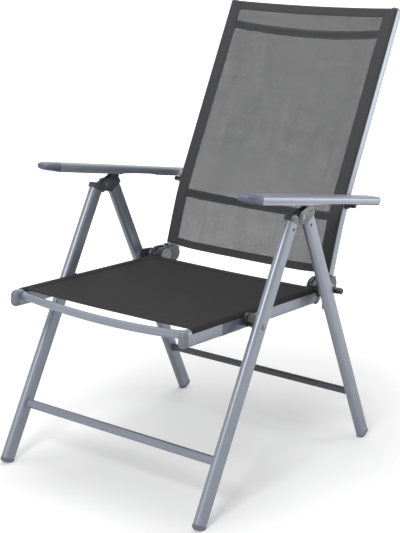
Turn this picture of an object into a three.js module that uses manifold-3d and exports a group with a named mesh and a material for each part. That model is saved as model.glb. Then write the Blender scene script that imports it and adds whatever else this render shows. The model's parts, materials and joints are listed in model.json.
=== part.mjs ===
// High-back folding garden armchair with textile slings on oval aluminium tubes.
// Millimetres. +X is the sitter's left, -Y is the front, +Z is up.
// While the pieces are made, Y is zero midway between the feet.

import * as THREE from 'three';
import { mergeVertices } from 'three/addons/utils/BufferGeometryUtils.js';
import Module from 'manifold-3d';

const wasm = await Module();
wasm.setup();

// Clearances
const seatGap = 0.3;            // between pieces that rest on each other
const runGap = 0.5;             // between pieces that turn past each other
const cutOver = 2;              // how far a cutting tool runs past what it cuts

// Stance of the leg frames
const legHalfSpacing = 280;     // centre plane of the legs from the middle
const footReach = 345;          // each foot from the middle, along Y
const hingeY = 4;
const hingeZ = 613;
const legOffset = 25.5;         // each leg's axis from the leg hinge
const legEndDrop = 22;          // top of a leg tube below the leg hinge, along the leg

// Oval leg tube
const legDepth = 38;
const legWidth = 19;
const tubeWall = 1.6;

// Feet
const footHeight = 24;
const footWall = 1.8;
const footPlug = 30;

// Cross bars between the legs
const legBarHeight = 20;
const legBarDepth = 12;
const legBarAlong = 148;        // distance up the leg

// Leg hinge
const hingeEyeRadius = 15;
const hingeWebThickness = 8;
const hingePinRadius = 4;
const hingePinHead = 7.5;
const hingePinHeadThickness = 1.6;
const headPlug = 34;            // how far a head goes down its tube
const headClearRadius = 17;     // full-width metal stays this far from the leg hinge
const headSlotRadius = 21;      // slot between the rear head's cheeks
const webLean = 2;              // a web's foot off its leg's axis, towards the leg hinge

// Armrest
const armPivotBehind = 42;      // arm pivot behind the leg hinge
const armPivotAbove = 27;
const armSlopeDegrees = -8.7;
const armFront = 257;           // ends of the channel from the pivot
const armRear = 293;
const armWidth = 46;
const armHeight = 20;
const armWall = 3;
const armCorner = 8;
const armBelow = 5;             // lower edge of the channel below the pivot
const armCapLength = 12;
const armCapCrown = 15.6;       // height of the control points that round a cap in plan
const armCapChamfer = 6;        // lower corner taken off a cap
const armPinRadius = 4;
const armBushRadius = 6.3;
const hornEyeRadius = 10;
const hornThickness = 14;

// Rack in the armrest
const rackStart = 150;
const rackEnd = 279;
const rackSideRoom = 3;         // between the rack and each wall of the channel
const rackNotches = 7;
const rackPitch = 18.5;
const rackNotchRadius = 6.4;

// Catch pin on the back, under the rack
const catchRadius = 6;
const catchReach = 25;
const catchBaseRadius = 11;
const catchBaseThickness = 7;

// Rear pivot, where seat and back turn on the rear legs
const pivotAlong = 447.4;       // distance up the rear leg
const pivotBehind = 31.6;       // behind the rear leg's axis
const pivotPinRadius = 6;
const pivotOuterReach = 20;     // the pin's outer end beyond the middle of the leg
const pivotSleeveRadius = 7.3;
const pivotCapRadius = 19;
const pivotCapThickness = 4.5;
const bracketThickness = 5;
const bracketEyeRadius = 14;
const bracketFootRadius = 12;
const bracketFootSpread = 22;
const bracketBossRadius = 10;
const pivotBushRadius = 8.2;

// Seat
const seatTubeInset = 44;       // centre plane of the side tubes inboard of the legs'
const seatTubeHeight = 38;
const seatTubeWidth = 20;
const seatTubeLength = 491;
const seatRearAhead = 24;       // rear ends of the side tubes ahead of the rear pivot
const seatRearBelow = 16.5;     // and below it
const seatRiseDegrees = 1.46;
const seatCapLength = 15;
const seatBarRadius = 9;
const seatFrontBarInset = 14;
const seatFrontBarSag = 16;
const seatRearBarInset = 40;
const seatRearBarDrop = 6;
const seatEyeRadius = 19.5;
const seatEyeThickness = 12;
const seatEyeInset = 46;        // centre plane of the eyes inboard of the legs'
const seatEyeRoom = 4.5;        // the back's knuckle is open this far beyond the eye
const seatSlingThickness = 3;
const seatSlingSag = 9;
const seatSlingFrontInset = 14; // cloth's front edge behind the ends of the side tubes
const seatSlingFrontScoop = 18; // how much further back the front edge is in the middle
const seatSlingRearInset = 3;   // cloth's rear edge ahead of the ends of the side tubes
const seatSlingRearReach = 24;  // how much further the rear edge reaches in the middle

// Hook plate under the seat and the pin it hangs on
const hookPinDrop = 7.45;       // pin below the side tube's axis
const hookPinRadius = 5;
const hookFlangeRadius = 10;
const hookFlangeThickness = 5;
const hookPlateThickness = 6;
const hookFrontRadius = 16;
const hookRearRadius = 11;
const hookRearReach = 61;
const hookFrontRise = 10;
const hookRearDrop = 11;
const hookMouthDegrees = -63;
const hookMouthFlareShare = 1.6; // width of the mouth's open end, of its inner width

// Back
const backTubeInset = 45.5;     // centre plane of the side tubes inboard of the legs'
const backTubeDepth = 32;
const backTubeWidth = 18;
const backLowDegrees = 73;
const backHighDegrees = 64.5;
const backStartBehind = 36.5;   // lower ends of the side tubes behind the rear pivot
const backStartBelow = 11;      // and below it
const backLowLength = 120;
const backBend = 120;
const backHighLength = 452;
const backBarRadius = 10.5;
const backBarBow = 38;          // the bars bow rearwards, clear of the sagging cloth
const backUpperBarInset = 58;
const backLowerBarAlong = 170;
const knuckleRadius = 22;
const knuckleCheek = 7;
const knuckleWall = 2.6;
const knuckleSocket = 32;
const knuckleHubAlong = 11;
const backSlingThickness = 3;
const backSlingSag = 12;
const backSlingLow = 37;
const backSlingSideLap = 3;
const backCapHeight = 5;
const backCapPlug = 24;

// Roundness of the facets
const ovalSegments = 5;
const roundSegments = 16;
const wideSegments = 32;
const arcSegments = 10;
const capSegments = 6;
const noseLayers = 4;
const barSteps = 14;
const backTubeSteps = 16;
const slingColumns = 16;
const seatSlingRows = 8;
const backSlingRows = 18;
const halvings = 30;            // rounds of a search by halves

// Finishes
const finishes = {
  frame: { color: 0x9aa0ac, roughness: 0.38, metalness: 0.75 },
  casting: { color: 0xa3a7b0, roughness: 0.45, metalness: 0.6 },
  cap: { color: 0x8d9099, roughness: 0.55, metalness: 0.0 },
  dark: { color: 0x3f434c, roughness: 0.55, metalness: 0.0 },
  black: { color: 0x17181b, roughness: 0.5, metalness: 0.0 },
  steel: { color: 0xb9bcc2, roughness: 0.3, metalness: 0.9 },
  sling: { color: 0x4b4b4c, roughness: 0.85, metalness: 0.0 },
};

const radians = THREE.MathUtils.degToRad;
const chair = new THREE.Group();

// Groups for the two sides: side is 1 on the sitter's left and -1 on the right.
const sides = [
  { side: 1, name: 'left' },
  { side: -1, name: 'right' },
];

function addMesh(name, geometry, finish) {
  const clean = geometry.index ? geometry.toNonIndexed() : geometry;
  clean.deleteAttribute('uv');
  clean.computeVertexNormals();
  const mesh = new THREE.Mesh(clean, new THREE.MeshStandardMaterial(finishes[finish]));
  mesh.name = name;
  chair.add(mesh);
  return mesh;
}

// Solids for joining and cutting

function toSolid(geometry) {
  const bare = geometry.clone();
  bare.deleteAttribute('normal');
  bare.deleteAttribute('uv');
  const merged = mergeVertices(bare, 1e-4);
  return new wasm.Manifold(new wasm.Mesh({
    numProp: 3,
    vertProperties: Float32Array.from(merged.attributes.position.array),
    triVerts: Uint32Array.from(merged.index.array),
  }));
}

function toGeometry(solid) {
  const mesh = solid.getMesh();
  const geometry = new THREE.BufferGeometry();
  geometry.setAttribute('position', new THREE.BufferAttribute(Float32Array.from(mesh.vertProperties), 3));
  geometry.setIndex(new THREE.BufferAttribute(Uint32Array.from(mesh.triVerts), 1));
  return geometry;
}

function join(first, ...others) {
  return toGeometry(others.reduce((solid, other) => solid.add(toSolid(other)), toSolid(first)));
}

function cut(first, ...others) {
  return toGeometry(others.reduce((solid, other) => solid.subtract(toSolid(other)), toSolid(first)));
}

// Outlines

// An oval section: width along the first axis, depth along the second.
function ovalPoints(width, depth, segments = ovalSegments) {
  const radius = width / 2;
  const flat = depth / 2 - radius;
  const points = [];
  for (let i = 0; i <= segments; i += 1) {
    const angle = Math.PI * i / segments;
    points.push(new THREE.Vector2(radius * Math.cos(angle), flat + radius * Math.sin(angle)));
  }
  for (let i = 0; i <= segments; i += 1) {
    const angle = Math.PI + Math.PI * i / segments;
    points.push(new THREE.Vector2(radius * Math.cos(angle), radius * Math.sin(angle) - flat));
  }
  return points;
}

function ovalShape(width, depth) {
  return new THREE.Shape(ovalPoints(width, depth));
}

function ovalRing(width, depth, wall) {
  const shape = ovalShape(width, depth);
  shape.holes.push(new THREE.Path(ovalPoints(width - 2 * wall, depth - 2 * wall)));
  return shape;
}

function circlePath(y, z, radius) {
  return new THREE.Path().absarc(y, z, radius, 0, 2 * Math.PI, true);
}

// The outline of two discs and the straight sides that touch both.
function strapShape(y1, z1, r1, y2, z2, r2) {
  const along = Math.atan2(z2 - z1, y2 - y1);
  const spread = Math.acos((r1 - r2) / Math.hypot(y2 - y1, z2 - z1));
  const shape = new THREE.Shape();
  shape.absarc(y1, z1, r1, along + spread, along - spread + 2 * Math.PI, false);
  shape.absarc(y2, z2, r2, along - spread, along + spread, false);
  return shape;
}

// A flat plate whose outline lies in the YZ plane, from one X to another.
function plate(shape, xLow, xHigh, curveSegments = arcSegments) {
  const geometry = new THREE.ExtrudeGeometry(shape, {
    depth: xHigh - xLow,
    bevelEnabled: false,
    curveSegments,
  });
  const turn = new THREE.Matrix4().makeBasis(
    new THREE.Vector3(0, 1, 0),
    new THREE.Vector3(0, 0, 1),
    new THREE.Vector3(1, 0, 0),
  );
  geometry.applyMatrix4(turn);
  geometry.translate(xLow, 0, 0);
  return geometry;
}

// A round bar along X.
function barX(y, z, radius, xLow, xHigh, segments = roundSegments) {
  const geometry = new THREE.CylinderGeometry(radius, radius, xHigh - xLow, segments);
  geometry.rotateZ(-Math.PI / 2);
  geometry.translate((xLow + xHigh) / 2, y, z);
  return geometry;
}

// A turned piece along X: its profile gives [x, radius] from one end to the other.
function turnedX(y, z, profile, segments = roundSegments) {
  const points = profile.map(([x, radius]) => new THREE.Vector2(radius, x));
  const geometry = new THREE.LatheGeometry(points, segments);
  geometry.rotateZ(-Math.PI / 2);
  geometry.translate(0, y, z);
  return geometry;
}

// A section in local XY, run along a direction in the YZ plane.
function run(shape, length, x, y, z, angle) {
  const geometry = new THREE.ExtrudeGeometry(shape, {
    depth: length,
    bevelEnabled: false,
    curveSegments: arcSegments,
  });
  geometry.rotateX(angle - Math.PI / 2);
  geometry.translate(x, y, z);
  return geometry;
}

// A round bar between two side tubes, bowed in the middle, with its ends cut square to X.
function bowedBar(y, z, bowWay, bow, reach, radius) {
  const overReach = reach + radius;
  const overBow = bow * (overReach / reach) ** 2;
  const end = new THREE.Vector3(0, y, z).addScaledVector(bowWay, bow - overBow);
  const path = new THREE.QuadraticBezierCurve3(
    end.clone().setX(-overReach),
    end.clone().addScaledVector(bowWay, 2 * overBow),
    end.clone().setX(overReach),
  );
  const section = new THREE.Shape(ovalPoints(2 * radius, 2 * radius));
  const bar = new THREE.ExtrudeGeometry(section, { steps: barSteps, bevelEnabled: false, extrudePath: path });
  const size = 2 * (bow + radius);
  return cut(
    bar,
    block(reach, 2 * reach, y - size, y + size, z - size, z + size),
    block(-2 * reach, -reach, y - size, y + size, z - size, z + size),
  );
}

function block(xLow, xHigh, yLow, yHigh, zLow, zHigh) {
  const geometry = new THREE.BoxGeometry(xHigh - xLow, yHigh - yLow, zHigh - zLow);
  geometry.translate((xLow + xHigh) / 2, (yLow + yHigh) / 2, (zLow + zHigh) / 2);
  return geometry;
}

function mirrored(geometry, side) {
  if (side > 0) {
    return geometry;
  }
  const flipped = geometry.index ? geometry.toNonIndexed() : geometry.clone();
  const positions = flipped.attributes.position;
  for (let i = 0; i < positions.count; i += 3) {
    const first = new THREE.Vector3().fromBufferAttribute(positions, i);
    const second = new THREE.Vector3().fromBufferAttribute(positions, i + 1);
    const third = new THREE.Vector3().fromBufferAttribute(positions, i + 2);
    positions.setXYZ(i, -first.x, first.y, first.z);
    positions.setXYZ(i + 1, -third.x, third.y, third.z);
    positions.setXYZ(i + 2, -second.x, second.y, second.z);
  }
  return flipped;
}

// The piece is made for the sitter's left and mirrored for the right.
function addPair(name, make, finish) {
  for (const { side, name: sideName } of sides) {
    addMesh(`${name}_${sideName}`, mirrored(make(), side), finish);
  }
}

// A closed sheet: place(u, v) gives the middle of the cloth, and lift the way to its face.
function sheetGeometry(place, lift, thickness, across, along) {
  const positions = [];
  const indices = [];
  const row = across + 1;
  const layer = row * (along + 1);
  for (const faceSide of [0.5, -0.5]) {
    for (let j = 0; j <= along; j += 1) {
      for (let i = 0; i <= across; i += 1) {
        const u = i / across;
        const v = j / along;
        const point = place(u, v).addScaledVector(lift(u, v), faceSide * thickness);
        positions.push(point.x, point.y, point.z);
      }
    }
  }
  const quad = (a, b, c, d) => indices.push(a, b, c, a, c, d);
  for (let j = 0; j < along; j += 1) {
    for (let i = 0; i < across; i += 1) {
      const a = j * row + i;
      quad(a, a + 1, a + 1 + row, a + row);
      quad(layer + a, layer + a + row, layer + a + 1 + row, layer + a + 1);
    }
  }
  for (let i = 0; i < across; i += 1) {
    const end = along * row + i;
    quad(layer + i, layer + i + 1, i + 1, i);
    quad(end, end + 1, layer + end + 1, layer + end);
  }
  for (let j = 0; j < along; j += 1) {
    const low = j * row;
    const high = j * row + across;
    quad(low, low + row, layer + low + row, layer + low);
    quad(layer + high, layer + high + row, high + row, high);
  }
  const geometry = new THREE.BufferGeometry();
  geometry.setAttribute('position', new THREE.Float32BufferAttribute(positions, 3));
  geometry.setIndex(indices);
  return geometry;
}

// Leg frames

// The line of a leg: where its foot is, and the way up it.
function legLine(footY, facing) {
  const reach = Math.hypot(hingeY - footY, hingeZ);
  const toHinge = Math.atan2(hingeZ, hingeY - footY);
  const angle = toHinge + facing * Math.asin(legOffset / reach);
  const hingeAlong = Math.sqrt(reach * reach - legOffset * legOffset);
  return { footY, angle, hingeAlong, facing };
}

const frontLeg = legLine(-footReach, 1);
const rearLeg = legLine(footReach, -1);
const legInnerFace = legHalfSpacing - legWidth / 2;

// A point at a distance up the leg, and across it towards the leg hinge.
function onLeg(leg, along, across = 0) {
  const side = leg.angle - leg.facing * Math.PI / 2;
  return [
    leg.footY + along * Math.cos(leg.angle) + across * Math.cos(side),
    along * Math.sin(leg.angle) + across * Math.sin(side),
  ];
}

// Planes and places that the other pieces share
const seatTubeX = legHalfSpacing - seatTubeInset;
const seatEyeX = legHalfSpacing - seatEyeInset;
const backTubeX = legHalfSpacing - backTubeInset;
const armPivotY = hingeY + armPivotBehind;
const armPivotZ = hingeZ + armPivotAbove;
const [pivotY, pivotZ] = onLeg(rearLeg, pivotAlong, -pivotBehind);
const seatRearY = pivotY - seatRearAhead;
const seatRearZ = pivotZ - seatRearBelow;
const backStartY = pivotY + backStartBehind;
const backStartZ = pivotZ - backStartBelow;

function legTube(leg) {
  const start = footHeight;
  const length = leg.hingeAlong - legEndDrop - start;
  const [y, z] = onLeg(leg, start);
  return run(ovalRing(legWidth, legDepth, tubeWall), length, legHalfSpacing, y, z, leg.angle);
}

// A foot is cut level where it stands, so it starts below the floor and is trimmed.
function legFoot(leg) {
  const plugWidth = legWidth - 2 * tubeWall - 2 * seatGap;
  const plugDepth = legDepth - 2 * tubeWall - 2 * seatGap;
  const [y0, z0] = onLeg(leg, -footHeight);
  const shoe = run(
    ovalShape(legWidth + 2 * footWall, legDepth + 2 * footWall),
    2 * footHeight - seatGap,
    legHalfSpacing,
    y0,
    z0,
    leg.angle,
  );
  const [y1, z1] = onLeg(leg, footHeight / 2);
  const plug = run(ovalShape(plugWidth, plugDepth), footHeight / 2 + footPlug, legHalfSpacing, y1, z1, leg.angle);
  const below = block(
    legHalfSpacing - legWidth,
    legHalfSpacing + legWidth,
    leg.footY - 3 * legDepth,
    leg.footY + 3 * legDepth,
    -3 * legDepth,
    0,
  );
  return cut(join(shoe, plug), below);
}

// A cross bar butts against the inner faces of both legs.
function legBar(leg) {
  const [y, z] = onLeg(leg, legBarAlong);
  const half = legHalfSpacing - legWidth / 2 - seatGap;
  const shape = new THREE.Shape();
  const ring = ovalPoints(legBarDepth, legBarHeight).map((p) => p.clone());
  const tilt = leg.angle - Math.PI / 2;
  ring.forEach((p) => p.rotateAround(new THREE.Vector2(), tilt));
  shape.setFromPoints(ring.map((p) => new THREE.Vector2(p.x + y, p.y + z)));
  return plate(shape, -half, half);
}

// The room that a leg tube fills below its head.
function legTubeSpace(leg) {
  const top = leg.hingeAlong - legEndDrop;
  const [y, z] = onLeg(leg, top - 2 * legDepth);
  return run(ovalShape(2 * legWidth, 2 * legDepth), 2 * legDepth + seatGap, legHalfSpacing, y, z, leg.angle);
}

// Web from the top of a leg to the eye at the leg hinge.
function headWeb(leg, thickness) {
  const [y, z] = onLeg(leg, leg.hingeAlong - legEndDrop + seatGap, webLean);
  const shape = strapShape(hingeY, hingeZ, hingeEyeRadius, y, z, hingeEyeRadius);
  const half = thickness / 2;
  return cut(plate(shape, legHalfSpacing - half, legHalfSpacing + half), legTubeSpace(leg));
}

function headCollar(leg) {
  const top = leg.hingeAlong - legEndDrop;
  const outline = new THREE.Shape();
  const [y1, z1] = onLeg(leg, top + seatGap, -legDepth / 2);
  const [y2, z2] = onLeg(leg, top + seatGap, legDepth / 2);
  const [y3, z3] = onLeg(leg, top + legEndDrop / 2, legDepth / 2);
  const [y4, z4] = onLeg(leg, top + legEndDrop, 0);
  const [y5, z5] = onLeg(leg, top + legEndDrop / 2, -legDepth / 2);
  outline.moveTo(y1, z1);
  outline.lineTo(y2, z2);
  outline.lineTo(y3, z3);
  outline.quadraticCurveTo(y4, z4, y5, z5);
  outline.closePath();
  const half = legWidth / 2;
  const body = plate(outline, legHalfSpacing - half, legHalfSpacing + half);
  return cut(body, barX(hingeY, hingeZ, headClearRadius, legHalfSpacing - legWidth, legHalfSpacing + legWidth));
}

function headPlugPiece(leg) {
  const top = leg.hingeAlong - legEndDrop;
  const [y, z] = onLeg(leg, top - headPlug);
  const width = legWidth - 2 * tubeWall - 2 * seatGap;
  const depth = legDepth - 2 * tubeWall - 2 * seatGap;
  return run(ovalShape(width, depth), headPlug + 2 * seatGap, legHalfSpacing, y, z, leg.angle);
}

// The front head's thin web turns between the cheeks of the rear head.
function frontHead() {
  const body = join(headCollar(frontLeg), headPlugPiece(frontLeg), headWeb(frontLeg, hingeWebThickness));
  return cut(
    body,
    barX(hingeY, hingeZ, hingePinRadius + seatGap, legHalfSpacing - legWidth, legHalfSpacing + legWidth),
  );
}

// The horn sweeps from the rear edge of the leg up to the eye that carries the armrest.
function hornShape() {
  const top = rearLeg.hingeAlong - legEndDrop;
  const [y1, z1] = onLeg(rearLeg, top + seatGap, -legDepth / 2);
  const [y2, z2] = onLeg(rearLeg, top + seatGap, legDepth / 4);
  const [y3, z3] = onLeg(rearLeg, rearLeg.hingeAlong, -legDepth / 2);
  const shape = new THREE.Shape();
  shape.moveTo(y2, z2);
  shape.lineTo(y1, z1);
  shape.quadraticCurveTo(y3, z3, armPivotY + hornEyeRadius, armPivotZ);
  shape.absarc(armPivotY, armPivotZ, hornEyeRadius, 0, radians(150), false);
  shape.quadraticCurveTo(hingeY + hingeEyeRadius, hingeZ + hingeEyeRadius, hingeY, hingeZ + hingeEyeRadius);
  shape.closePath();
  return shape;
}

// The rear head is a fork that stands either side of the front head's web.
function rearHead() {
  const low = legHalfSpacing - legWidth;
  const high = legHalfSpacing + legWidth;
  const slotHalf = hingeWebThickness / 2 + runGap;
  const slot = barX(
    hingeY,
    hingeZ,
    headSlotRadius,
    legHalfSpacing - slotHalf,
    legHalfSpacing + slotHalf,
  );
  const horn = plate(hornShape(), legHalfSpacing - hornThickness / 2, legHalfSpacing + hornThickness / 2);
  const slotted = cut(join(headCollar(rearLeg), headWeb(rearLeg, legWidth), horn), slot);
  return cut(
    join(slotted, headPlugPiece(rearLeg)),
    barX(hingeY, hingeZ, hingePinRadius + seatGap, low, high),
    barX(armPivotY, armPivotZ, armBushRadius + seatGap, low, high),
  );
}

function hingePin() {
  const half = legWidth / 2 + seatGap;
  const low = legHalfSpacing - half;
  const high = legHalfSpacing + half;
  const head = hingePinHeadThickness;
  return turnedX(hingeY, hingeZ, [
    [low - head, 0],
    [low - head, hingePinHead - head],
    [low, hingePinHead],
    [low, hingePinRadius],
    [high, hingePinRadius],
    [high, hingePinHead],
    [high + head, hingePinHead - head],
    [high + head, 0],
  ]);
}

addPair('front_leg', () => legTube(frontLeg), 'frame');
addPair('rear_leg', () => legTube(rearLeg), 'frame');
addPair('front_foot', () => legFoot(frontLeg), 'cap');
addPair('rear_foot', () => legFoot(rearLeg), 'cap');
addMesh('front_crossbar', legBar(frontLeg), 'frame');
addMesh('rear_crossbar', legBar(rearLeg), 'frame');
addPair('front_hinge_head', frontHead, 'casting');
addPair('rear_hinge_head', rearHead, 'casting');
addPair('leg_hinge_pin', hingePin, 'steel');

// Rear pivot on the rear legs

const pivotInner = backTubeX - backTubeWidth / 2 - knuckleCheek - runGap;

function pivotBracket() {
  const [y1, z1] = onLeg(rearLeg, pivotAlong + bracketFootSpread);
  const [y2, z2] = onLeg(rearLeg, pivotAlong - bracketFootSpread);
  const high = legInnerFace - seatGap;
  const low = high - bracketThickness;
  const upper = plate(strapShape(pivotY, pivotZ, bracketEyeRadius, y1, z1, bracketFootRadius), low, high);
  const lower = plate(strapShape(pivotY, pivotZ, bracketEyeRadius, y2, z2, bracketFootRadius), low, high);
  const bossEnd = backTubeX + backTubeWidth / 2 + knuckleCheek + runGap + seatGap;
  const boss = barX(pivotY, pivotZ, bracketBossRadius, bossEnd, high);
  return cut(
    join(upper, lower, boss),
    barX(pivotY, pivotZ, pivotPinRadius + seatGap, bossEnd - cutOver, high + cutOver),
  );
}

function pivotPin() {
  const sleeveStart = legInnerFace + seatGap;
  const pivotOuter = legHalfSpacing + pivotOuterReach;
  const tip = pivotSleeveRadius / 3;
  return turnedX(pivotY, pivotZ, [
    [pivotInner, 0],
    [pivotInner, pivotPinRadius],
    [sleeveStart, pivotPinRadius],
    [sleeveStart, pivotSleeveRadius],
    [pivotOuter - tip, pivotSleeveRadius],
    [pivotOuter, pivotSleeveRadius - tip],
    [pivotOuter, 0],
  ]);
}

function pivotCap() {
  const high = pivotInner - seatGap;
  const low = high - pivotCapThickness;
  const round = pivotCapThickness / 2;
  return turnedX(pivotY, pivotZ, [
    [low, 0],
    [low, pivotCapRadius - 2 * round],
    [low + round / 2, pivotCapRadius - round / 2],
    [low + round, pivotCapRadius],
    [high, pivotCapRadius],
    [high, 0],
  ]);
}

addPair('rear_pivot_bracket', pivotBracket, 'steel');
addPair('rear_pivot_pin', pivotPin, 'black');
addPair('rear_pivot_cap', pivotCap, 'cap');

// Seat

const seatAngle = Math.PI - radians(seatRiseDegrees);

// A point in the seat's own line: along from the rear ends, and above the axis.
function onSeat(along, above = 0) {
  return [
    seatRearY + along * Math.cos(seatAngle) + above * Math.sin(seatAngle),
    seatRearZ + along * Math.sin(seatAngle) - above * Math.cos(seatAngle),
  ];
}

function seatTube() {
  return run(
    ovalRing(seatTubeWidth, seatTubeHeight, tubeWall),
    seatTubeLength,
    seatTubeX,
    seatRearY,
    seatRearZ,
    seatAngle,
  );
}

// Bull-nosed plug in the front end of a side tube.
function seatCap() {
  const plugWidth = seatTubeWidth - 2 * tubeWall - 2 * seatGap;
  const plugHeight = seatTubeHeight - 2 * tubeWall - 2 * seatGap;
  const [y0, z0] = onSeat(seatTubeLength - footPlug);
  const plug = run(ovalShape(plugWidth, plugHeight), footPlug + 2 * seatGap, seatTubeX, y0, z0, seatAngle);
  let nose = plug;
  for (let i = 0; i < noseLayers; i += 1) {
    const startShare = i / noseLayers;
    const endShare = (i + 1) / noseLayers;
    const draw = seatCapLength * (1 - Math.sqrt(1 - startShare * startShare));
    const [y, z] = onSeat(seatTubeLength + seatGap + seatCapLength * startShare);
    const layer = run(
      ovalShape(seatTubeWidth - draw, seatTubeHeight - draw),
      seatCapLength * (endShare - startShare) + (i < noseLayers - 1 ? seatGap / 2 : 0),
      seatTubeX,
      y,
      z,
      seatAngle,
    );
    nose = join(nose, layer);
  }
  return nose;
}

// The bar bows down so that the cloth above it can sag.
function seatFrontBar() {
  const reach = seatTubeX - seatTubeWidth / 2 - seatGap;
  const [y, z] = onSeat(seatTubeLength - seatFrontBarInset);
  return bowedBar(y, z, new THREE.Vector3(0, 0, -1), seatFrontBarSag, reach, seatBarRadius);
}

function seatRearBar() {
  const reach = seatTubeX - seatTubeWidth / 2 - seatGap;
  const [y, z] = onSeat(seatRearBarInset, -seatRearBarDrop);
  return barX(y, z, seatBarRadius, -reach, reach);
}

// Housing at the rear end of a side tube, with the eye that turns on the rear pivot.
function seatHousing() {
  const plugWidth = seatTubeWidth - 2 * tubeWall - 2 * seatGap;
  const plugHeight = seatTubeHeight - 2 * tubeWall - 2 * seatGap;
  const [py, pz] = onSeat(footPlug);
  const plug = run(ovalShape(plugWidth, plugHeight), footPlug + 2 * seatGap, seatTubeX, py, pz, seatAngle + Math.PI);
  const lobeRadius = seatTubeHeight / 2;
  const [ly, lz] = onSeat(-seatGap - lobeRadius * Math.sin(radians(seatRiseDegrees)));
  const half = seatTubeWidth / 2;
  const lobe = new THREE.Shape();
  lobe.moveTo(ly, lz + lobeRadius);
  lobe.lineTo(ly, lz - lobeRadius);
  lobe.absarc(ly, lz, lobeRadius, radians(-90), radians(90), false);
  lobe.closePath();
  const body = plate(lobe, seatTubeX - half, seatTubeX + half);
  const hollowRadius = knuckleRadius + runGap;
  const shaved = cut(
    body,
    barX(pivotY, pivotZ, hollowRadius, seatTubeX - 2 * half, seatTubeX + 2 * half, wideSegments),
  );
  const eyeLow = seatEyeX - seatEyeThickness / 2;
  const eyeHigh = seatEyeX + seatEyeThickness / 2;
  const strap = plate(
    strapShape(pivotY, pivotZ, seatEyeRadius, ly, lz, lobeRadius - seatGap),
    eyeLow,
    eyeHigh,
  );
  const tubeSpace = block(
    eyeLow - half,
    eyeHigh + half,
    ly - 2 * lobeRadius,
    ly,
    lz - 2 * lobeRadius,
    lz + 2 * lobeRadius,
  );
  const eye = cut(strap, tubeSpace);
  return cut(
    join(shaved, plug, eye),
    barX(pivotY, pivotZ, pivotPinRadius + seatGap, eyeLow - cutOver, eyeHigh + cutOver),
    barX(pivotY, pivotZ, hollowRadius, eyeLow - half, eyeLow, wideSegments),
    barX(pivotY, pivotZ, hollowRadius, eyeHigh, eyeHigh + half, wideSegments),
  );
}

// The support pin stands where a line below the side tube's axis crosses the front leg.
const seatSlope = Math.tan(radians(seatRiseDegrees));
const hookAlong = (seatRearZ - hookPinDrop + (seatRearY - frontLeg.footY) * seatSlope)
  / (Math.sin(frontLeg.angle) + Math.cos(frontLeg.angle) * seatSlope);
const [hookPinY, hookPinZ] = onLeg(frontLeg, hookAlong);

// Plate riveted to the side tube: its mouth drops over the pin on the front leg.
function hookPlate() {
  const low = seatTubeX + seatTubeWidth / 2 + seatGap;
  const high = low + hookPlateThickness;
  const shape = strapShape(
    hookPinY,
    hookPinZ + hookFrontRise,
    hookFrontRadius,
    hookPinY + hookRearReach,
    hookPinZ - hookRearDrop,
    hookRearRadius,
  );
  const body = plate(shape, low, high);
  const mouthAngle = radians(hookMouthDegrees);
  const mouthWidth = 2 * (hookPinRadius + seatGap);
  const mouthLength = 2 * hookFrontRadius;
  const mouth = new THREE.Shape();
  const across = mouthAngle + Math.PI / 2;
  const cy = Math.cos(across) * mouthWidth / 2;
  const cz = Math.sin(across) * mouthWidth / 2;
  const ey = hookPinY + Math.cos(mouthAngle) * mouthLength;
  const ez = hookPinZ + Math.sin(mouthAngle) * mouthLength;
  mouth.moveTo(hookPinY - cy, hookPinZ - cz);
  mouth.lineTo(ey - hookMouthFlareShare * cy, ez - hookMouthFlareShare * cz);
  mouth.lineTo(ey + hookMouthFlareShare * cy, ez + hookMouthFlareShare * cz);
  mouth.lineTo(hookPinY + cy, hookPinZ + cz);
  mouth.closePath();
  return cut(
    body,
    barX(hookPinY, hookPinZ, mouthWidth / 2, low - cutOver, high + cutOver),
    plate(mouth, low - cutOver, high + cutOver),
  );
}

function hookPin() {
  const inner = seatTubeX + seatTubeWidth / 2 + 2 * seatGap;
  const outer = legInnerFace - seatGap;
  return turnedX(hookPinY, hookPinZ, [
    [inner, 0],
    [inner, hookPinRadius],
    [outer - hookFlangeThickness, hookPinRadius],
    [outer - hookFlangeThickness, hookFlangeRadius],
    [outer, hookFlangeRadius],
    [outer, 0],
  ]);
}

// Cloth over the side tubes: it sags between them.
function seatSling() {
  const reach = seatTubeX + seatTubeWidth / 2;
  const above = seatTubeHeight / 2 + seatGap + seatSlingThickness / 2;
  const bearShare = (seatTubeX - seatTubeWidth / 2) / reach;
  const place = (u, v) => {
    const acrossShare = 2 * u - 1;
    const hangShare = Math.max(0, 1 - (acrossShare / bearShare) ** 2);
    const front = seatTubeLength - seatSlingFrontInset - seatSlingFrontScoop * hangShare;
    const rear = seatSlingRearInset - seatSlingRearReach * hangShare;
    const [y, z] = onSeat(front + (rear - front) * v, above - seatSlingSag * hangShare);
    return new THREE.Vector3(acrossShare * reach, y, z);
  };
  const up = new THREE.Vector3(0, Math.sin(seatAngle), -Math.cos(seatAngle));
  return sheetGeometry(place, () => up, seatSlingThickness, slingColumns, seatSlingRows);
}

addPair('seat_side_tube', seatTube, 'frame');
addPair('seat_front_cap', seatCap, 'cap');
addPair('seat_hinge_housing', seatHousing, 'dark');
addPair('seat_hook_plate', hookPlate, 'steel');
addPair('seat_support_pin', hookPin, 'steel');
addMesh('seat_front_bar', seatFrontBar(), 'frame');
addMesh('seat_rear_bar', seatRearBar(), 'frame');
addMesh('seat_sling', seatSling(), 'sling');

// Back

const backLow = radians(backLowDegrees);
const backHigh = radians(backHighDegrees);

function backVector(angle, length) {
  return new THREE.Vector3(0, length * Math.cos(angle), length * Math.sin(angle));
}

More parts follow.
